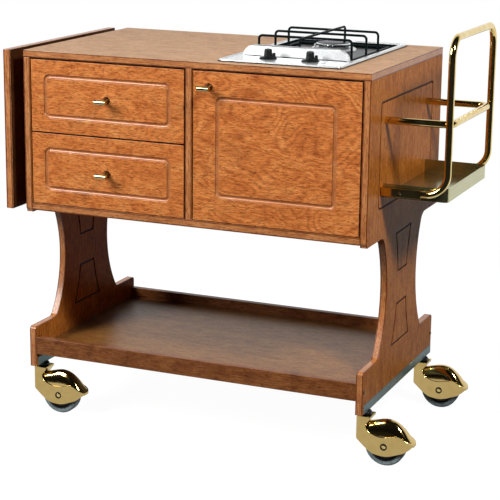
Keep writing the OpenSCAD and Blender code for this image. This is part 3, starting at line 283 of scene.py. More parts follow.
# Top and underside of the cabinet floor: plain lacquered veneer, grain along the cabinet
INNER_WOOD = veneer("inner_board", "X", ("#97551F", "#AC6A30", "#BC7C40"), 0.006, 0.6, 0.5, 12.0,
                    IOR=1.4, Specular_IOR_Level=0.3)
# Balancing veneer under the drop leaf, dark brown as painted shade of the gap; only sealed, so dull
LEAF_SHADE_WOOD = veneer("leaf_underside_shade", "Z", ("#3E2412", "#4A2C17", "#57361E"), 0.006, 0.5, 0.5, 12.0,
                    IOR=1.3, Specular_IOR_Level=0.05)
TOP_EDGE = lipping("top_lipping", "X", 2, WORKTOP - BOARD)
FLOOR_EDGE = lipping("floor_lipping", "X", 2, CABINET_LOW)
LEFT_EDGE = lipping("left_lipping", "Z", 0, LEFT)
RIGHT_EDGE = lipping("right_lipping", "Z", 0, RIGHT - BOARD)
MIDDLE_EDGE = lipping("middle_lipping", "Z", 0, DIVIDER)
LEAF_EDGE = lipping("leaf_lipping", "Z", 0, LEAF_OUTSIDE)
# Floor of the fronts' routed grooves: lacquer pools there, so it is smooth and catches the light
GROOVE = veneer("groove_floor", "X", ("#BC6C38", "#CE8048", "#DC945C"), 0.01, 0.3, 0.2,
                IOR=1.5, Coat_Weight=0.4, Coat_Roughness=0.16)
# Edges of the fronts and flanks of their grooves: dark painted shade of the gaps and grooves
EDGE_SHADE = veneer("painted_shade_edge", "X", ("#3A1E0E", "#4A2814", "#5A3319"), 0.01, 0.5, 0.4,
                    IOR=1.4, Specular_IOR_Level=0.1)
# Grooves of the end boards: dark brown as painted shade in them, upright grain
SIDE_GROOVE_SHADE = veneer("side_groove_shade", "Z", ("#3E2212", "#4E2C18", "#5E3820"), 0.006, 0.5, 0.4, 12.0,
                     IOR=1.3, Specular_IOR_Level=0.06)
# Solid red-brown edging round the lower shelf, grain along the shelf
LIP_WOOD = veneer("shelf_lip", "X", ("#70401F", "#88522C", "#9A6438"), 0.008, 0.6, 0.6, 12.0,
                  IOR=1.4, Specular_IOR_Level=0.3)
# Red-brown veneer of the lower shelf, polished, grain along the shelf
SHELF_WOOD = veneer("mahogany_shelf", "X", ("#7C522A", "#8E602E", "#9C703A"), 0.008, 0.6, 0.6, 12.0,
                    IOR=1.45, Specular_IOR_Level=0.3)
# Face veneer of clear-lacquered birch plywood: pale and almost plain, with faint grain
PLY = veneer("birch_plywood", "X", ("#C3A271", "#D5B888", "#E2CA9F"), 0.01, 0.3, 0.15, 10.0,
             IOR=1.5, Specular_IOR_Level=0.3)
PLY_EDGE = plywood_edge()
# Polished and lacquered brass: a clear mirror with faint hand marks a few centimetres wide
BRASS = mottled("polished_brass", {"Scale": 38.0, "Detail": 3.0},
                [(0.35, "#DCBF76"), (0.65, "#EAD392")], (0.07, 0.15), Metallic=1.0)
# Pale pull bars; the darker copy is painted shade on the pulls' feet, the bolts' own colour
BAR_BRASS = pull_brass("pale_bar_brass", "#A4966A", "#CFC292")
DARK_BRASS_AND_SHADE = pull_brass("dark_brass_and_shade", "#54452A", "#7A6840")
CAST_BRASS = lacquered_cast_brass()
# Sheet brass of the tray, brushed from front to back and slightly greenish under lacquer, with
# hairlines drawn 1 mm apart
SHEET_BRASS = mottled("brushed_brass_sheet", {"Scale": 1.0, "Detail": 2.0},
                      [(0.3, "#A2A070"), (0.7, "#BAB886")], (0.14, 0.24), (900, 14, 900),
                      Metallic=0.93)
# Stainless hob sheet brushed from front to back, with fine hairlines drawn 1 mm apart. The
# brushing scatters a part of the light, so lamps whiten it
STAINLESS = mottled("brushed_stainless", {"Scale": 1.0, "Detail": 2.0},
                    [(0.3, "#D6D9DA"), (0.7, "#ECEEEE")], (0.24, 0.32), (1000, 16, 1000),
                    Metallic=0.72)
# Vitreous enamel, fired: deep black, glossy, with a slight orange-peel ripple
ENAMEL = mottled("black_enamel", {"Scale": 160.0, "Detail": 2.0},
                 [(0.3, "#0B1112"), (0.7, "#131C1D")], (0.16, 0.26), bump=(0.06, 0.0006),
                 IOR=1.4, Specular_IOR_Level=0.04)
ZINC = grey_zinc_steel()
# Moulded glass-filled polyamide: near black, fine even grain about 0.5 mm across
POLYAMIDE = mottled("black_polyamide", {"Scale": 1500.0, "Detail": 1.0},
                    [(0.3, "#0B0B0C"), (0.7, "#151617")], bump=(0.15, 0.0003),
                    IOR=1.5, Specular_IOR_Level=0.3, Roughness=0.4)
# Non-marking grey rubber, moulded, with a little dust worn into the tread
RUBBER = mottled("grey_tread_rubber", {"Scale": 70.0, "Detail": 5.0, "Roughness": 0.65},
                 [(0.3, "#66757A"), (0.7, "#92A1A4")], (0.45, 0.65), IOR=1.5)
# Sand-blasted cast aluminium burner, dulled by heat, with a grain about 1 mm across
ALLOY = mottled("cast_burner_alloy", {"Scale": 700.0, "Detail": 2.0},
                [(0.3, "#7F8382"), (0.7, "#A9ADAB")], (0.4, 0.58), bump=(0.2, 0.0003), Metallic=1.0)
# Bright chrome on the rims of the burner lids, the screws and the rivets, faintly hazy
CHROME = mottled("chromed_trim", {"Scale": 120.0, "Detail": 3.0},
                 [(0.35, "#CFD3D6"), (0.65, "#E9ECEE")], (0.06, 0.14), Metallic=1.0)
# White glazed alumina of the spark plugs, faintly speckled
CERAMIC = mottled("glazed_ceramic", {"Scale": 900.0}, [(0.3, "#D9D6CC"), (0.6, "#EFEDE6")],
                  IOR=1.6, Roughness=0.15, Coat_Weight=0.4)


# ---- meshes ----

def new_object(name, mesh, materials):
    """Object of a mesh. Its materials are cleared only where it has some, because clearing them
    sets the material of every face back to the first."""
    made = bpy.data.objects.new(name, mesh)
    bpy.context.scene.collection.objects.link(made)
    if mesh.materials:
        mesh.materials.clear()
    for m in materials:
        mesh.materials.append(m)
    return made


def object_of(work, name, materials=()):
    """Object of a finished bmesh, which is then freed."""
    mesh = bpy.data.meshes.new(name)
    work.to_mesh(mesh)
    work.free()
    return new_object(name, mesh, materials)


def bake(made):
    """Applies the modifiers of an object to its mesh."""
    bpy.context.view_layer.update()
    graph = bpy.context.evaluated_depsgraph_get()
    done = bpy.data.meshes.new_from_object(made.evaluated_get(graph))
    made.modifiers.clear()
    made.data = done
    return made


def shade(made, angle=34.0):
    """Smooth faces, sharp edges above the angle, and normals that keep flat faces flat."""
    work = bmesh.new()
    work.from_mesh(made.data)
    for face in work.faces:
        face.smooth = True
    for edge in work.edges:
        edge.smooth = len(edge.link_faces) == 2 and edge.calc_face_angle(3.2) < math.radians(angle)
    work.to_mesh(made.data)
    work.free()
    weigh = made.modifiers.new("weigh", "WEIGHTED_NORMAL")
    weigh.keep_sharp = True
    return bake(made)


def merged_solid(node):
    """The merged surface of a CAD node, with flat areas made whole again."""
    work = bmesh.new()
    work.from_mesh(node_of[node].data)
    bmesh.ops.remove_doubles(work, verts=work.verts, dist=1e-6)
    bmesh.ops.dissolve_limit(work, angle_limit=math.radians(0.4), verts=work.verts,
                             edges=work.edges)
    return work


def round_edges(work, width):
    """Rounds the outer and inner sharp edges, leaving the rims of small bores alone."""
    picked = [e for e in work.edges if len(e.link_faces) == 2 and e.calc_length() > 0.6 * MM
              and e.calc_face_angle(0) > math.radians(50)]
    bmesh.ops.bevel(work, geom=picked, offset=width, offset_type="OFFSET", segments=3,
                    profile=0.5, affect="EDGES", clamp_overlap=False)


def place_piece(made, body, node=None):
    """Lets a finished piece ride on a body, and hides the CAD node that it replaces."""
    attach(made, body)
    if node:
        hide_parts(node)


def dress(name, node, materials, edge=0.0, pick=None, body="carcass"):
    """A finished piece in place of a CAD node: edge is its rounding in millimetres, and pick
    chooses the material of a face from its normal and centre."""
    work = merged_solid(node)
    if edge:
        round_edges(work, edge * MM)
    if pick:
        work.normal_update()
        for face in work.faces:
            face.material_index = pick(face.normal, face.calc_center_median() / MM)
    place_piece(shade(object_of(work, name, materials)), body, node)


def lathe(name, profile, materials, at, axis="Z", steps=64):
    """Turned piece from radius and height pairs in millimetres, closed on its axis or a ring."""
    work = bmesh.new()
    rings = []
    for r, h in profile:
        if r < 1e-6:
            rings.append([work.verts.new((0, 0, h * MM))])
        else:
            rings.append([work.verts.new((r * MM * math.cos(a), r * MM * math.sin(a), h * MM))
                          for a in (2 * math.pi * i / steps for i in range(steps))])
    pairs = list(zip(rings, rings[1:]))
    if profile[0][0] > 1e-6:
        pairs.append((rings[-1], rings[0]))
    for low, high in pairs:
        for i in range(steps):
            j = (i + 1) % steps
            corners = [low[i % len(low)], low[j % len(low)],
                       high[j % len(high)], high[i % len(high)]]
            corners = list(dict.fromkeys(corners))
            if len(corners) > 2:
                work.faces.new(corners)
    bmesh.ops.recalc_face_normals(work, faces=work.faces)
    if axis != "Z":
        turn = math.radians(90 if axis == "Y" else -90)
        bmesh.ops.rotate(work, verts=work.verts, matrix=Matrix.Rotation(turn, 3, "X"))
    bmesh.ops.translate(work, verts=work.verts, vec=Vector(at) * MM)
    return shade(object_of(work, name, materials))


# ---- geometry nodes ----

def node_group(name, sizes):
    """Empty geometry tree with named inputs; sizes gives each name and its socket kind."""
    tree = bpy.data.node_groups.new(name, "GeometryNodeTree")
    tree.interface.new_socket("Geometry", in_out="INPUT", socket_type="NodeSocketGeometry")
    for label, kind in sizes.items():
        tree.interface.new_socket(label, in_out="INPUT", socket_type=f"NodeSocket{kind}")
    tree.interface.new_socket("Geometry", in_out="OUTPUT", socket_type="NodeSocketGeometry")
    return tree, add(tree, "NodeGroupInput").outputs


def close_group(tree, geometry, material):
    """Ends a tree in Realize Instances and Set Material."""
    real = add(tree, "GeometryNodeRealizeInstances", {"Geometry": geometry})
    done = add(tree, "GeometryNodeSetMaterial", {"Geometry": real.outputs[0], "Material": material})
    add(tree, "NodeGroupOutput", {"Geometry": done.outputs[0]})


def bent_tube_tree():
    """Tube or wire along the edges of a mesh; the point attribute bend is each corner's radius."""
    tree, given = node_group("bent_tube", {"Tube radius": "Float", "Steps in a bend": "Int",
                                           "Steps round": "Int", "Material": "Material"})
    path = add(tree, "GeometryNodeMeshToCurve", {"Mesh": given["Geometry"]})
    bend = add(tree, "GeometryNodeInputNamedAttribute", {"Name": "bend"}, data_type="FLOAT")
    line = add(tree, "GeometryNodeFilletCurve", {"Curve": path.outputs[0],
                                                 "Radius": bend.outputs[0],
                                                 "Count": given["Steps in a bend"]}, mode="POLY")
    ring = add(tree, "GeometryNodeCurvePrimitiveCircle", {"Radius": given["Tube radius"],
                                                          "Resolution": given["Steps round"]})
    tube = add(tree, "GeometryNodeCurveToMesh", {"Curve": line.outputs[0],
                                                 "Profile Curve": ring.outputs[0],
                                                 "Fill Caps": True})
    close_group(tree, tube.outputs[0], given["Material"])
    return tree


def screw_head_tree():
    """Slotted screw heads on the points of a mesh, turned so that they stand out of their board."""
    tree, given = node_group("screw_heads", {"Head radius": "Float", "Head height": "Float",
                                             "Turn": "Vector", "Material": "Material"})

    def of_radius(share):
        size = add(tree, "ShaderNodeMath", {0: given["Head radius"], 1: share},
                   operation="MULTIPLY")
        return size.outputs[0]

    head = add(tree, "GeometryNodeMeshCone", {"Vertices": 32, "Radius Top": of_radius(0.7),
                                              "Radius Bottom": given["Head radius"],
                                              "Depth": given["Head height"]})
    slot_size = add(tree, "ShaderNodeCombineXYZ", {0: of_radius(2.5), 1: of_radius(0.28),
                                                   2: given["Head height"]})
    slot = add(tree, "GeometryNodeMeshCube", {"Size": slot_size.outputs[0]})
    lift = add(tree, "ShaderNodeCombineXYZ", {2: given["Head height"]})
    raised = add(tree, "GeometryNodeTransform", {"Geometry": slot.outputs[0],
                                                 "Translation": lift.outputs[0]})
    cut = add(tree, "GeometryNodeMeshBoolean", {"Mesh 1": head.outputs[0],
                                                "Mesh 2": raised.outputs[0]},
              operation="DIFFERENCE")
    spread = add(tree, "GeometryNodeInstanceOnPoints", {"Points": given["Geometry"],
                                                        "Instance": cut.outputs[0],
                                                        "Rotation": given["Turn"]})
    close_group(tree, spread.outputs[0], given["Material"])
    return tree


def grow(name, tree, paths, values, bends=None):
    """Runs a geometry tree on the points and lines of paths, in millimetres, and keeps the plain
    mesh. values are the tree's inputs, and bends the corner radius at each point."""
    points, lines = [], []
    for path in paths:
        first = len(points)
        closed = path[0] == path[-1] and len(path) > 2
        points += path[:-1] if closed else path
        lines += [(i, i + 1) for i in range(first, len(points) - 1)]
        if closed:
            lines.append((len(points) - 1, first))
    mesh = bpy.data.meshes.new(name)
    mesh.from_pydata([Vector(p) * MM for p in points], lines, [])
    if bends:
        bend = mesh.attributes.new("bend", "FLOAT", "POINT")
        bend.data.foreach_set("value", [b * MM for b in bends])
    made = new_object(name, mesh, [])
    step = made.modifiers.new("grow", "NODES")
    step.node_group = tree
    for socket in tree.interface.items_tree:
        if socket.in_out == "INPUT" and socket.name in values:
            step[socket.identifier] = values[socket.name]
    return bake(made)


BENT_TUBE = bent_tube_tree()
SCREW_HEADS = screw_head_tree()


def tube_piece(name, paths, values, bends, node=None):
    """Tube, wire or cord along the paths, which rides on the carcass."""
    place_piece(shade(grow(name, BENT_TUBE, paths, values, bends)), "carcass", node)


# ---- cabinet ----

BROAD = 0.35    # a board's face counts as broad where its normal has this much across the board
FACING = 0.9    # a face counts as square to an axis where its normal has this much along it
SIDE_GROOVE_DEPTH = (1.0, 2.6)    # from an end board's face to the floor of its grooves
PULL_FOOT = FRONT - 16    # a pull takes painted shade behind this place


def board_faces(normal, centre):
    """Veneer on an end board's broad faces, lipping on its edges, painted shade in its grooves."""
    depth = (centre.x - LEFT) % (RIGHT - BOARD - LEFT)
    low, high = SIDE_GROOVE_DEPTH
    if low < depth < high or BOARD - high < depth < BOARD - low:
        return 2
    return upright_faces(normal, centre)


def upright_faces(normal, centre):
    """Veneer on the broad faces of an upright board, lipping on its edges."""
    return 0 if abs(normal.x) > BROAD else 1


def leaf_faces(normal, centre):
    """Veneer on the leaf, lipping on its edges, painted shade on the side that hangs inwards."""
    return 2 if normal.x > FACING else upright_faces(normal, centre)


def level_faces(normal, centre):
    """Veneer on top and bottom of a level board, lipping on its edges."""
    return 0 if abs(normal.z) > BROAD else 1


def front_faces(normal, centre):
    """Veneer on a front, clear lacquer on its groove floors, painted shade on its edges and on the
    flanks of its grooves. The grooves reach 4.2 mm behind the face."""
    if FRONT + 0.15 < centre.y < FRONT + 4.2 and abs(normal.y) > 0.6:
        return 1
    return 0 if abs(normal.y) > FACING else 2


def pull_faces(normal, centre):
    """Pale bar; painted shade and dark reflection on the foot and stem behind it."""
    return 1 if centre.y > PULL_FOOT else 0


def lid_faces(normal, centre):
    """Enamel on top of a burner lid, bright metal round its rim."""
    return 0 if abs(normal.z) > FACING else 1


def ply_faces(normal, centre):
    """Plies show on the upper and lower edges of the drawer boxes."""
    return 1 if abs(normal.z) > FACING else 0


for side, strip in (("left", LEFT_EDGE), ("right", RIGHT_EDGE)):
    dress(f"end_board_{side}", f"end_panel_{side}", [SIDE_WOOD, strip, SIDE_GROOVE_SHADE],
          0.9, board_faces)
dress("worktop_board", "worktop", [TOP_WOOD, TOP_EDGE], 1.6, level_faces)
dress("bay_divider", "divider", [SIDE_WOOD, MIDDLE_EDGE], 0.9, upright_faces)
dress("cabinet_floor_board", "cabinet_floor", [INNER_WOOD, FLOOR_EDGE], 0.9,
      level_faces)
dress("plywood_back", "cabinet_back", [SIDE_WOOD], 0.5)
dress("shelf_board", "lower_shelf", [SHELF_WOOD])
dress("shelf_edging", "shelf_lips", [LIP_WOOD], 1.2)
dress("foot_rails", "base_rails", [ZINC])
dress("runner_channels", "drawer_runners", [ZINC])
dress("door_buffer", "door_catch", [POLYAMIDE], 0.6)

for level in ("upper", "lower"):
    body = f"{level}_drawer"
    dress(f"{level}_front", f"{body}_front", [DRAWER_WOOD, GROOVE, EDGE_SHADE],
          1.2, front_faces, body)
    dress(f"{level}_box", f"{body}_box", [PLY, PLY_EDGE], 0.6, ply_faces, body)
    dress(f"{level}_base", f"{body}_base", [PLY], body=body)
    dress(f"{level}_slides", f"{body}_slides", [ZINC], body=body)
    dress(f"{level}_knob", f"{body}_knob", [BAR_BRASS, DARK_BRASS_AND_SHADE],
          pick=pull_faces, body=body)
dress("door_front", "door", [DOOR_WOOD, GROOVE, EDGE_SHADE], 1.2, front_faces,
      "door")
dress("door_pull", "door_knob", [BAR_BRASS, DARK_BRASS_AND_SHADE], pick=pull_faces,
      body="door")
dress("door_pins", "door_pivots", [BRASS], body="door")
dress("leaf_board", "drop_leaf", [LEAF_WOOD, LEAF_EDGE, LEAF_SHADE_WOOD], 1.4,
      leaf_faces, "leaf")
dress("leaf_angles", "leaf_arms", [ZINC], body="leaf")
dress("leaf_wall_plates", "leaf_brackets", [ZINC])
dress("leaf_stays", "leaf_braces", [ZINC], body="leaf_brace")
dress("leaf_rivets", "leaf_pivot_pins", [CHROME])
dress("foot_bolts", "shelf_bolts", [DARK_BRASS_AND_SHADE])

# Screws through the bracket flanges: into the end board, and into the leaf
screw = {"Head radius": 3.6 * MM, "Head height": 1.8 * MM, "Material": CHROME}
wall_screws = [[(LEFT - 3, y, z)] for y in (-160.1, 197.9) for z in (765, 835, 905)]
place_piece(grow("wall_plate_screws", SCREW_HEADS, wall_screws,
                 {**screw, "Turn": (0.0, -math.pi / 2, 0.0)}), "carcass")
leaf_screws = [[(LEFT - 35, y, z)] for y in (-156.8, 194.6) for z in (560, 640, 720, 860)]
place_piece(grow("leaf_screws", SCREW_HEADS, leaf_screws,
                 {**screw, "Turn": (0.0, math.pi / 2, 0.0)}), "leaf")

# ---- push rail and tray ----

TUBE_R = 8.5
LOOP_X, LOOP_FRONT, LOOP_REAR = RIGHT + 158.0, -167.1, 187.9
LOOP_LOW, LOOP_HIGH, LOOP_START = 656.0, 1018.0, 452.75
RAIL_FRONT, RAIL_REAR, RAIL_Z = -149.8, 170.6, 820.0

loop_path = [(LOOP_START, LOOP_FRONT, LOOP_LOW), (LOOP_X, LOOP_FRONT, LOOP_LOW),
             (LOOP_X, LOOP_FRONT, LOOP_HIGH), (LOOP_X, LOOP_REAR, LOOP_HIGH),
             (LOOP_X, LOOP_REAR, LOOP_LOW), (LOOP_START, LOOP_REAR, LOOP_LOW)]
rail_path = [(RIGHT, RAIL_FRONT, RAIL_Z), (LOOP_X, RAIL_FRONT, RAIL_Z),
             (LOOP_X, RAIL_REAR, RAIL_Z), (RIGHT, RAIL_REAR, RAIL_Z)]
tube = {"Tube radius": TUBE_R * MM, "Steps in a bend": 24, "Steps round": 64, "Material": BRASS}
tube_piece("push_loop", [loop_path], tube, [0, 50, 45, 45, 50, 0],
           "handle_loop")
tube_piece("cross_rail", [rail_path], tube, [0, 24, 24, 0], "middle_rail")
dress("square_sleeves", "handle_sleeves", [BRASS], 0.7)
dress("sleeve_fixings", "sleeve_screws", [CHROME])
dress("sheet_tray", "bottle_tray", [SHEET_BRASS], 0.5)

# ---- hob ----

dress("hob_sheet", "hob_plate", [STAINLESS], 1.2)
dress("hob_upstand", "hob_ridge", [STAINLESS], 0.8)
dress("spill_well", "hob_well", [ENAMEL], 0.5)
dress("under_box", "burner_box", [ZINC], 0.5)
dress("burner_cups", "burner_bodies", [ALLOY])
dress("burner_lids", "burner_caps", [ENAMEL, CHROME], pick=lid_faces)
dress("spark_pins", "spark_plugs", [CERAMIC])

# Wire support: three bars across, one from front to back, and the frame that they stand on
PAN_LEFT, PAN_RIGHT, PAN_LOW, PAN_HIGH = HOB_X - 119.0, HOB_X + 119.0, 940.0, 987.0
PAN_FRONT, PAN_REAR = -93.1, 224.9
pan_paths = [[(PAN_LEFT, y, PAN_LOW), (PAN_LEFT, y, PAN_HIGH),
              (PAN_RIGHT, y, PAN_HIGH), (PAN_RIGHT, y, PAN_LOW)]
             for y in (SMALL_Y - 42, SMALL_Y + 64, LARGE_Y - 7)]
pan_paths.append([(HOB_X, PAN_FRONT, PAN_LOW), (HOB_X, PAN_FRONT, PAN_HIGH),
                  (HOB_X, PAN_REAR, PAN_HIGH), (HOB_X, PAN_REAR, PAN_LOW)])
pan_paths.append([(PAN_LEFT, PAN_FRONT, PAN_LOW), (PAN_RIGHT, PAN_FRONT, PAN_LOW),
                  (PAN_RIGHT, PAN_REAR, PAN_LOW), (PAN_LEFT, PAN_REAR, PAN_LOW),
                  (PAN_LEFT, PAN_FRONT, PAN_LOW)])
wire = {"Tube radius": 3 * MM, "Steps in a bend": 12, "Steps round": 32, "Material": ENAMEL}
tube_piece("wire_support", pan_paths, wire, [0, 9, 9, 0] * 4 + [3.2] * 4,
           "pan_support")
for side in ("left", "right"):
    dress(f"gas_knob_{side}", f"hob_knob_{side}", [POLYAMIDE],
          body=f"knob_{side}")
dress("spark_button", "ignition_button", [POLYAMIDE], body="ignition")
dress("hose_tail", "gas_inlet", [BRASS])


def rim_path(out, z):
    """Loop round the hob sheet, out millimetres outside its edge at height z."""
    x0, x1, y0, y1 = HOB_LEFT - out, HOB_RIGHT + out, HOB_FRONT - out, HOB_REAR + out
    return [(x0, y0, z), (x1, y0, z), (x1, y1, z), (x0, y1, z), (x0, y0, z)]


# Rolled rim on the hob sheet; black seal cords under it and at the ridge's foot, also painted shade
rim = {"Tube radius": 1.5 * MM, "Steps in a bend": 12, "Steps round": 24, "Material": STAINLESS}
tube_piece("hob_rim", [rim_path(-2.6, HOB_TOP + 0.4)], rim, [8] * 4)
seal_shade_cord = {"Tube radius": 1.3 * MM, "Steps in a bend": 12, "Steps round": 16, "Material": POLYAMIDE}
tube_piece("hob_seal_shade", [rim_path(0.6, WORKTOP + 1.0)], seal_shade_cord, [8] * 4)
ridge_foot = [(x, RIDGE_FRONT - 0.3, HOB_TOP + 0.5) for x in (RIDGE_LEFT + 4, RIDGE_RIGHT - 4)]
tube_piece("ridge_seal_shade", [ridge_foot], {**seal_shade_cord, "Tube radius": 1.1 * MM}, [0, 0])

# Pressed ring round each burner: how far its section stands out of the burner, and its height
RING_SECTION = [(2, 0.2), (14, 0.2), (13, 3.0), (9.5, 5.4), (6, 4.8), (3, 2.2)]
for name, y, burner_r in (("small_ring", SMALL_Y, 32.0), ("large_ring", LARGE_Y, 44.0)):
    section = [(burner_r + out, h) for out, h in RING_SECTION]
    place_piece(lathe(name, section, [STAINLESS], (HOB_X, y, WELL_Z)), "carcass")

# ---- casters ----

# The hood's places and curves are X and Z in millimetres, from its stem's axis and axle's height
HOOD_W = 44.0
HOOD_START, NECK_END, NECK_TOP = -16.0, 21.0, 69.7
START_ROUND, NOSE_ROUND = 9.0, 15.0
CHEEK_EDGE = [(9.5, 49.5), (14, 37), (27, 28.5), (44, 23.7), (61, 24.5), (78, 28.5), (92, 31),
              (105, 25.5), (116, 19), (127, 11.5)]
CHEEK_LOW = [(127, 11.5), (122, 4), (106, -8.3), (89, -15.6), (72, -21.8), (56, -24.3),
             (36, -22.3), (21, -16.5), (5, -4.5), (-7, 6.3)]
DOME_TOP = [(10, 52), (18, 55), (32, 59), (48, 63), (63, 64), (79, 60), (92, 51.5),
            (104, 39.5), (115, 25), (125, 13)]


def smooth_line(points, steps):
    """Smooth curve through the points, as evenly many steps in each stretch."""
    line = []
    last = len(points) - 1
    for k in range(steps + 1):
        s = min(int(k * last / steps), last - 1)
        t = k * last / steps - s
        a, b, c, d = (Vector(points[i]) for i in (max(s - 1, 0), s, s + 1, min(s + 2, last)))
        line.append(0.5 * (2 * b + (c - a) * t + (2 * a - 5 * b + 4 * c - d) * t * t
                           + (3 * b - a - 3 * c + d) * t ** 3))
    return line


def solid_from(work, name):
    """Object of a closed mesh with its faces pointing outwards, for the hood's cuts."""
    bmesh.ops.recalc_face_normals(work, faces=work.faces)
    return object_of(work, name)


def slab(name, outline, y0, y1, soften):
    """Plate with the outline in X and Z, from y0 to y1, with softened rims."""
    work = bmesh.new()
    near = [work.verts.new((x * MM, y0 * MM, z * MM)) for x, z in outline]
    far = [work.verts.new((x * MM, y1 * MM, z * MM)) for x, z in outline]
    caps = [work.faces.new(near), work.faces.new(far)]
    for i in range(len(outline)):
        work.faces.new((near[i - 1], near[i], far[i], far[i - 1]))
    bmesh.ops.recalc_face_normals(work, faces=work.faces)
    if soften:
        rims = [e for cap in caps for e in cap.edges]
        bmesh.ops.bevel(work, geom=rims, offset=soften * MM, segments=3, profile=0.5,
                        affect="EDGES")
    return solid_from(work, name)


def dome(name, n, m):
    """Domed shell over the wheel: n arched sections of m steps from cheek to cheek, which lean
    in at their feet by an angle and narrow towards the stem."""
    work = bmesh.new()
    lean = math.radians(12)
    low = [Vector((p.x, p.y - 6)) for p in smooth_line(CHEEK_EDGE, n)]
    high = smooth_line(DOME_TOP, n)
    rows = []
    for i in range(n + 1):
        half = HOOD_W / 2 - 1.5 - 5 * (1 - min(4 * i / n, 1)) ** 2
        row = []
        for j in range(m + 1):
            turn = lean + j * (math.pi - 2 * lean) / m
            c = math.cos(turn) / math.cos(lean)
            r = max(math.sin(turn) - math.sin(lean), 0.0) / (1 - math.sin(lean))
            p = low[i] + (high[i] - low[i]) * r ** 0.9
            y = half * math.copysign(abs(c) ** 0.85, c)
            row.append(work.verts.new((p.x * MM, y * MM, p.y * MM)))
        rows.append(row)
    for a, b in zip(rows, rows[1:]):
        for j in range(m):
            work.faces.new((a[j], b[j], b[j + 1], a[j + 1]))
        work.faces.new((a[m], b[m], b[0], a[0]))
    work.faces.new(rows[0])
    work.faces.new(rows[-1])
    return solid_from(work, name)


def cut_with(base, tool, operation):
    """Joins, cuts or trims an object with a tool, which is then removed."""
    step = base.modifiers.new(tool.name, "BOOLEAN")
    step.operation = operation
    step.solver = "EXACT"
    step.object = tool
    bake(base)
    bpy.data.objects.remove(tool)


def hood_mesh():
    """Hood at its stem axis and axle height, made from the same curves as the solid hood."""
    outline = [(HOOD_START, NECK_TOP), (NECK_END, NECK_TOP), (NECK_END, NECK_TOP - 5)]
    outline += [(p.x, p.y) for p in smooth_line(CHEEK_EDGE, 54)]
    outline += [(p.x, p.y) for p in smooth_line(CHEEK_LOW, 54)][1:] + [(HOOD_START, 14)]
    body = slab("hood_body", outline, -HOOD_W / 2, HOOD_W / 2, 1.3)
    cut_with(body, dome("hood_dome", 72, 40), "UNION")

    # Seen from above, the hood is a rectangle with rounded corners
    start_x, nose_x = HOOD_START + START_ROUND, CHEEK_EDGE[-1][0] - NOSE_ROUND
    corners = ((start_x, -1, START_ROUND, 180), (nose_x, -1, NOSE_ROUND, 270),
               (nose_x, 1, NOSE_ROUND, 0), (start_x, 1, START_ROUND, 90))
    ring = []
    for x, side_y, r, start_at in corners:
        for k in range(13):
            a = math.radians(start_at + 90 * k / 12)
            ring.append((x + r * math.cos(a), side_y * (HOOD_W / 2 - r) + r * math.sin(a)))
    work = bmesh.new()
    under = [work.verts.new((x * MM, y * MM, -60 * MM)) for x, y in ring]
    over = [work.verts.new((x * MM, y * MM, 90 * MM)) for x, y in ring]
    work.faces.new(under)
    work.faces.new(over)
    for i in range(len(ring)):
        work.faces.new((under[i - 1], under[i], over[i], over[i - 1]))
    cut_with(body, solid_from(work, "hood_plan"), "INTERSECT")

    # Pocket for the wheel: a disc with rounded rims between 6 mm cheeks, and a shallow recess
    # round each end of the axle
    gap, reach, soft = HOOD_W / 2 - 6, 53, 8
    bend = [(reach - soft + soft * math.cos(a), gap - soft + soft * math.sin(a))
            for a in (math.radians(9 * k) for k in range(11))]
    disc = [(0, -gap)] + [(r, -h) for r, h in reversed(bend)] + bend + [(0, gap)]
    cut_with(body, lathe("hood_pocket", disc, [], (TRAIL, 0, 0), "Y", 96), "DIFFERENCE")
    bore = [(0, -2), (9, -2), (9, 2), (0, 2)]
    for side in (-1, 1):
        spot = (TRAIL, side * (HOOD_W / 2 + 0.8), 0)
        cut_with(body, lathe("hood_recess", bore, [], spot, "Y", 48), "DIFFERENCE")
    mesh = body.data
    bpy.data.objects.remove(body)
    return mesh


# Turned trim on the ends of the axle: radius and height pairs
AXLE_RING = [(5.4, -0.4), (8.6, -0.4), (8.6, 0.3), (8.0, 0.9), (5.4, 0.9)]
AXLE_BOLT = [(0, 0.1), (2.2, 0.1), (2.6, 0.9), (4.0, 0.9), (5.0, 0.4), (5.0, -0.4), (0, -0.4)]
AXLE_END = 20.8

hood_shape = hood_mesh()
dress("swivel_stems", "caster_stems", [POLYAMIDE])
for corner, (stem_x, stem_y) in STEMS.items():
    wheel, fork = f"wheel_{corner}", f"caster_{corner}"
    dress(f"hub_{corner}", f"caster_hub_{corner}", [POLYAMIDE], body=wheel)
    dress(f"tread_{corner}", f"caster_tyre_{corner}", [RUBBER], body=wheel)
    hood = hood_shape.copy()
    hood.name = f"hood_{corner}"
    hood.transform(Matrix.Translation(Vector((stem_x, stem_y, WHEEL_R)) * MM))
    place_piece(shade(new_object(f"hood_{corner}", hood, [CAST_BRASS]), 30.0), fork,
                f"caster_hood_{corner}")
    for end, side, axis in (("front", -1, "Y"), ("rear", 1, "-Y")):
        spot = (stem_x + TRAIL, stem_y + side * AXLE_END, WHEEL_R)
        place_piece(lathe(f"axle_ring_{end}_{corner}", AXLE_RING, [POLYAMIDE], spot, axis, 40),
                    fork)
        place_piece(lathe(f"axle_bolt_{end}_{corner}", AXLE_BOLT, [BRASS], spot, axis, 40),
                    fork)


# ---- stage, light and camera ----

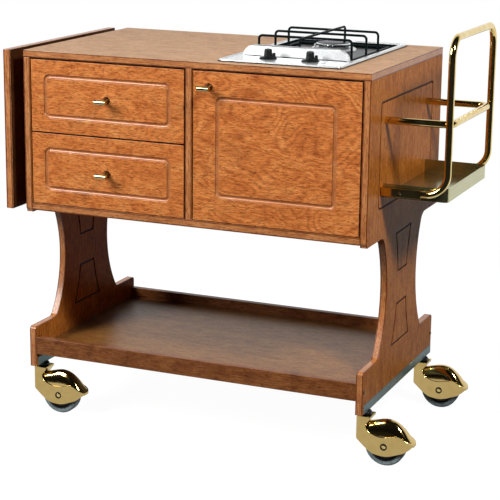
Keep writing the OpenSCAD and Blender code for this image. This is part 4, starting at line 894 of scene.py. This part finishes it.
def studio_floor():
    """White paper under and behind the cart: white to the camera and in reflections, and it keeps
    a faint shadow near the cart. It ends before the camera, where reflections find a dark studio.
    It throws little light back, so the undersides and the far leg stay dark."""
    made = bpy.data.materials.new("studio_floor")
    made.use_nodes = True
    tree = made.node_tree
    tree.nodes.clear()
    path = add(tree, "ShaderNodeLightPath")
    place = add(tree, "ShaderNodeTexCoord").outputs["Object"]
    toward = add(tree, "ShaderNodeVectorMath", {0: place, 1: (0.39, -0.92, 0.0)},
                 operation="DOT_PRODUCT")
    paper = add(tree, "ShaderNodeMapRange", {0: toward.outputs["Value"], 1: 0.6, 2: 0.75,
                                             3: 1.0, 4: 0.02}, interpolation_type="SMOOTHSTEP")
    reach = add(tree, "ShaderNodeVectorMath", {0: place, 1: (0.0, 0.0, 0.0)},
                operation="DISTANCE")
    near = add(tree, "ShaderNodeMapRange", {0: reach.outputs["Value"], 1: 0.8, 2: 2.0,
                                            3: 1.0, 4: 0.0}, interpolation_type="SMOOTHSTEP")
    bright = add(tree, "ShaderNodeMapRange", {0: near.outputs[0], 3: 1.0, 4: 1.38})
    tone = add(tree, "ShaderNodeMix", {0: path.outputs["Is Camera Ray"], 2: paper.outputs[0],
                                       3: bright.outputs[0]})
    bounce = add(tree, "ShaderNodeMix", {0: path.outputs["Is Camera Ray"], 6: linear("#161616"),
                                         7: linear("#9A9A99")}, data_type="RGBA")
    matt = add(tree, "ShaderNodeBsdfDiffuse", {"Color": bounce.outputs[2]})
    glow = add(tree, "ShaderNodeEmission", {"Color": linear("#FFFFFF"),
                                            "Strength": tone.outputs[0]})
    kept = add(tree, "ShaderNodeMapRange", {0: near.outputs[0], 3: 1.0, 4: 0.7})
    share = add(tree, "ShaderNodeMath", {0: background_rays(tree), 1: kept.outputs[0]},
                operation="MULTIPLY")
    mixed = add(tree, "ShaderNodeMixShader", {0: share.outputs[0], 1: matt.outputs[0],
                                              2: glow.outputs[0]})
    add(tree, "ShaderNodeOutputMaterial", {"Surface": mixed.outputs[0]})
    return made


def background_rays(tree):
    """One for camera, glossy and transmission rays, zero for the others."""
    path = add(tree, "ShaderNodeLightPath")
    shiny = add(tree, "ShaderNodeMath", {0: path.outputs["Is Glossy Ray"],
                                         1: path.outputs["Is Transmission Ray"]},
                operation="MAXIMUM")
    both = add(tree, "ShaderNodeMath", {0: shiny.outputs[0], 1: path.outputs["Is Camera Ray"]},
               operation="MAXIMUM")
    return both.outputs[0]


def studio_world():
    """White sweep behind the cart; the unlit room above and behind the camera stays dark
    in the reflections, as metal shows it in a studio."""
    world = bpy.data.worlds.new("studio")
    bpy.context.scene.world = world
    world.use_nodes = True
    tree = world.node_tree
    tree.nodes.clear()
    path = add(tree, "ShaderNodeLightPath")
    way = add(tree, "ShaderNodeTexCoord").outputs["Generated"]
    away = add(tree, "ShaderNodeVectorMath", {0: way, 1: (-0.38, 0.92, -0.35)},
               operation="DOT_PRODUCT")
    sweep = add(tree, "ShaderNodeValToRGB", {0: away.outputs["Value"]},
                [(0.05, "#161617"), (0.42, "#FFFFFF")])
    room = add(tree, "ShaderNodeMix", {0: path.outputs["Is Camera Ray"], 6: sweep.outputs[0],
                                       7: linear("#FFFFFF")}, data_type="RGBA")
    seen = add(tree, "ShaderNodeBackground", {"Color": room.outputs[2], "Strength": 1.0})
    lit = add(tree, "ShaderNodeBackground", {"Color": linear("#F4F6FA"), "Strength": 0.024})
    mixed = add(tree, "ShaderNodeMixShader", {0: background_rays(tree), 1: lit.outputs[0],
                                              2: seen.outputs[0]})
    add(tree, "ShaderNodeOutputWorld", {"Surface": mixed.outputs[0]})


def soft_lamp(name, at, aim, size, power, mirrored=True):
    """Square lamp that the camera does not see; mirrored says if shiny surfaces show it."""
    lamp = bpy.data.lights.new(name, "AREA")
    lamp.shape = "SQUARE"
    lamp.size = size
    lamp.energy = power
    made = bpy.data.objects.new(name, lamp)
    bpy.context.scene.collection.objects.link(made)
    made.location = at
    made.visible_camera = False
    made.visible_glossy = mirrored
    made.rotation_euler = (Vector(aim) - Vector(at)).to_track_quat("-Z", "Y").to_euler()


FLOOR_HALF = 30.0
floor_mesh = bpy.data.meshes.new("floor")
floor_mesh.from_pydata([(x * FLOOR_HALF, y * FLOOR_HALF, 0)
                        for x, y in ((-1, -1), (1, -1), (1, 1), (-1, 1))], [], [(0, 1, 2, 3)])
floor = new_object("floor", floor_mesh, [studio_floor()])
studio_world()
soft_lamp("key_lamp", (2.3, -1.4, 2.9), (0.1, 0.0, 0.6), 0.6, 86.0)
soft_lamp("front_lamp", (-2.7, -3.2, 3.1), (0.0, 0.0, 0.6), 2.0, 240.0)
# A weak lamp below the worktop's height keeps the back board readable
soft_lamp("back_lamp", (-1.6, 3.4, 0.75), (0.0, 0.0, 0.6), 1.2, 45.0, False)

# Camera in front of the cart's right end, a little above the worktop: place in metres, angles in
# radians, and the focal length in pixels of the photo's frame
EYE = (1.5554, -3.7017, 1.4397)
YAW, PITCH, ROLL = 0.39886, -0.24583, 0.01264
FOCAL, FRAME, SENSOR_MM = 1625.0, 500.0, 36.0
ahead = Vector((-math.sin(YAW) * math.cos(PITCH), math.cos(YAW) * math.cos(PITCH),
                math.sin(PITCH)))
side = Vector((math.cos(YAW), math.sin(YAW), 0))
above = side.cross(ahead)
right = side * math.cos(ROLL) + above * math.sin(ROLL)
up = above * math.cos(ROLL) - side * math.sin(ROLL)
lens = bpy.data.cameras.new("camera")
lens.sensor_width = SENSOR_MM
lens.lens = FOCAL * SENSOR_MM / FRAME
lens.clip_end = 100.0
eye = bpy.data.objects.new("camera", lens)
bpy.context.scene.collection.objects.link(eye)
eye.matrix_world = Matrix([(right[i], up[i], -ahead[i], EYE[i]) for i in range(3)]
                          + [(0, 0, 0, 1)])
bpy.context.scene.camera = eye
bpy.context.scene.view_settings.view_transform = "Standard"
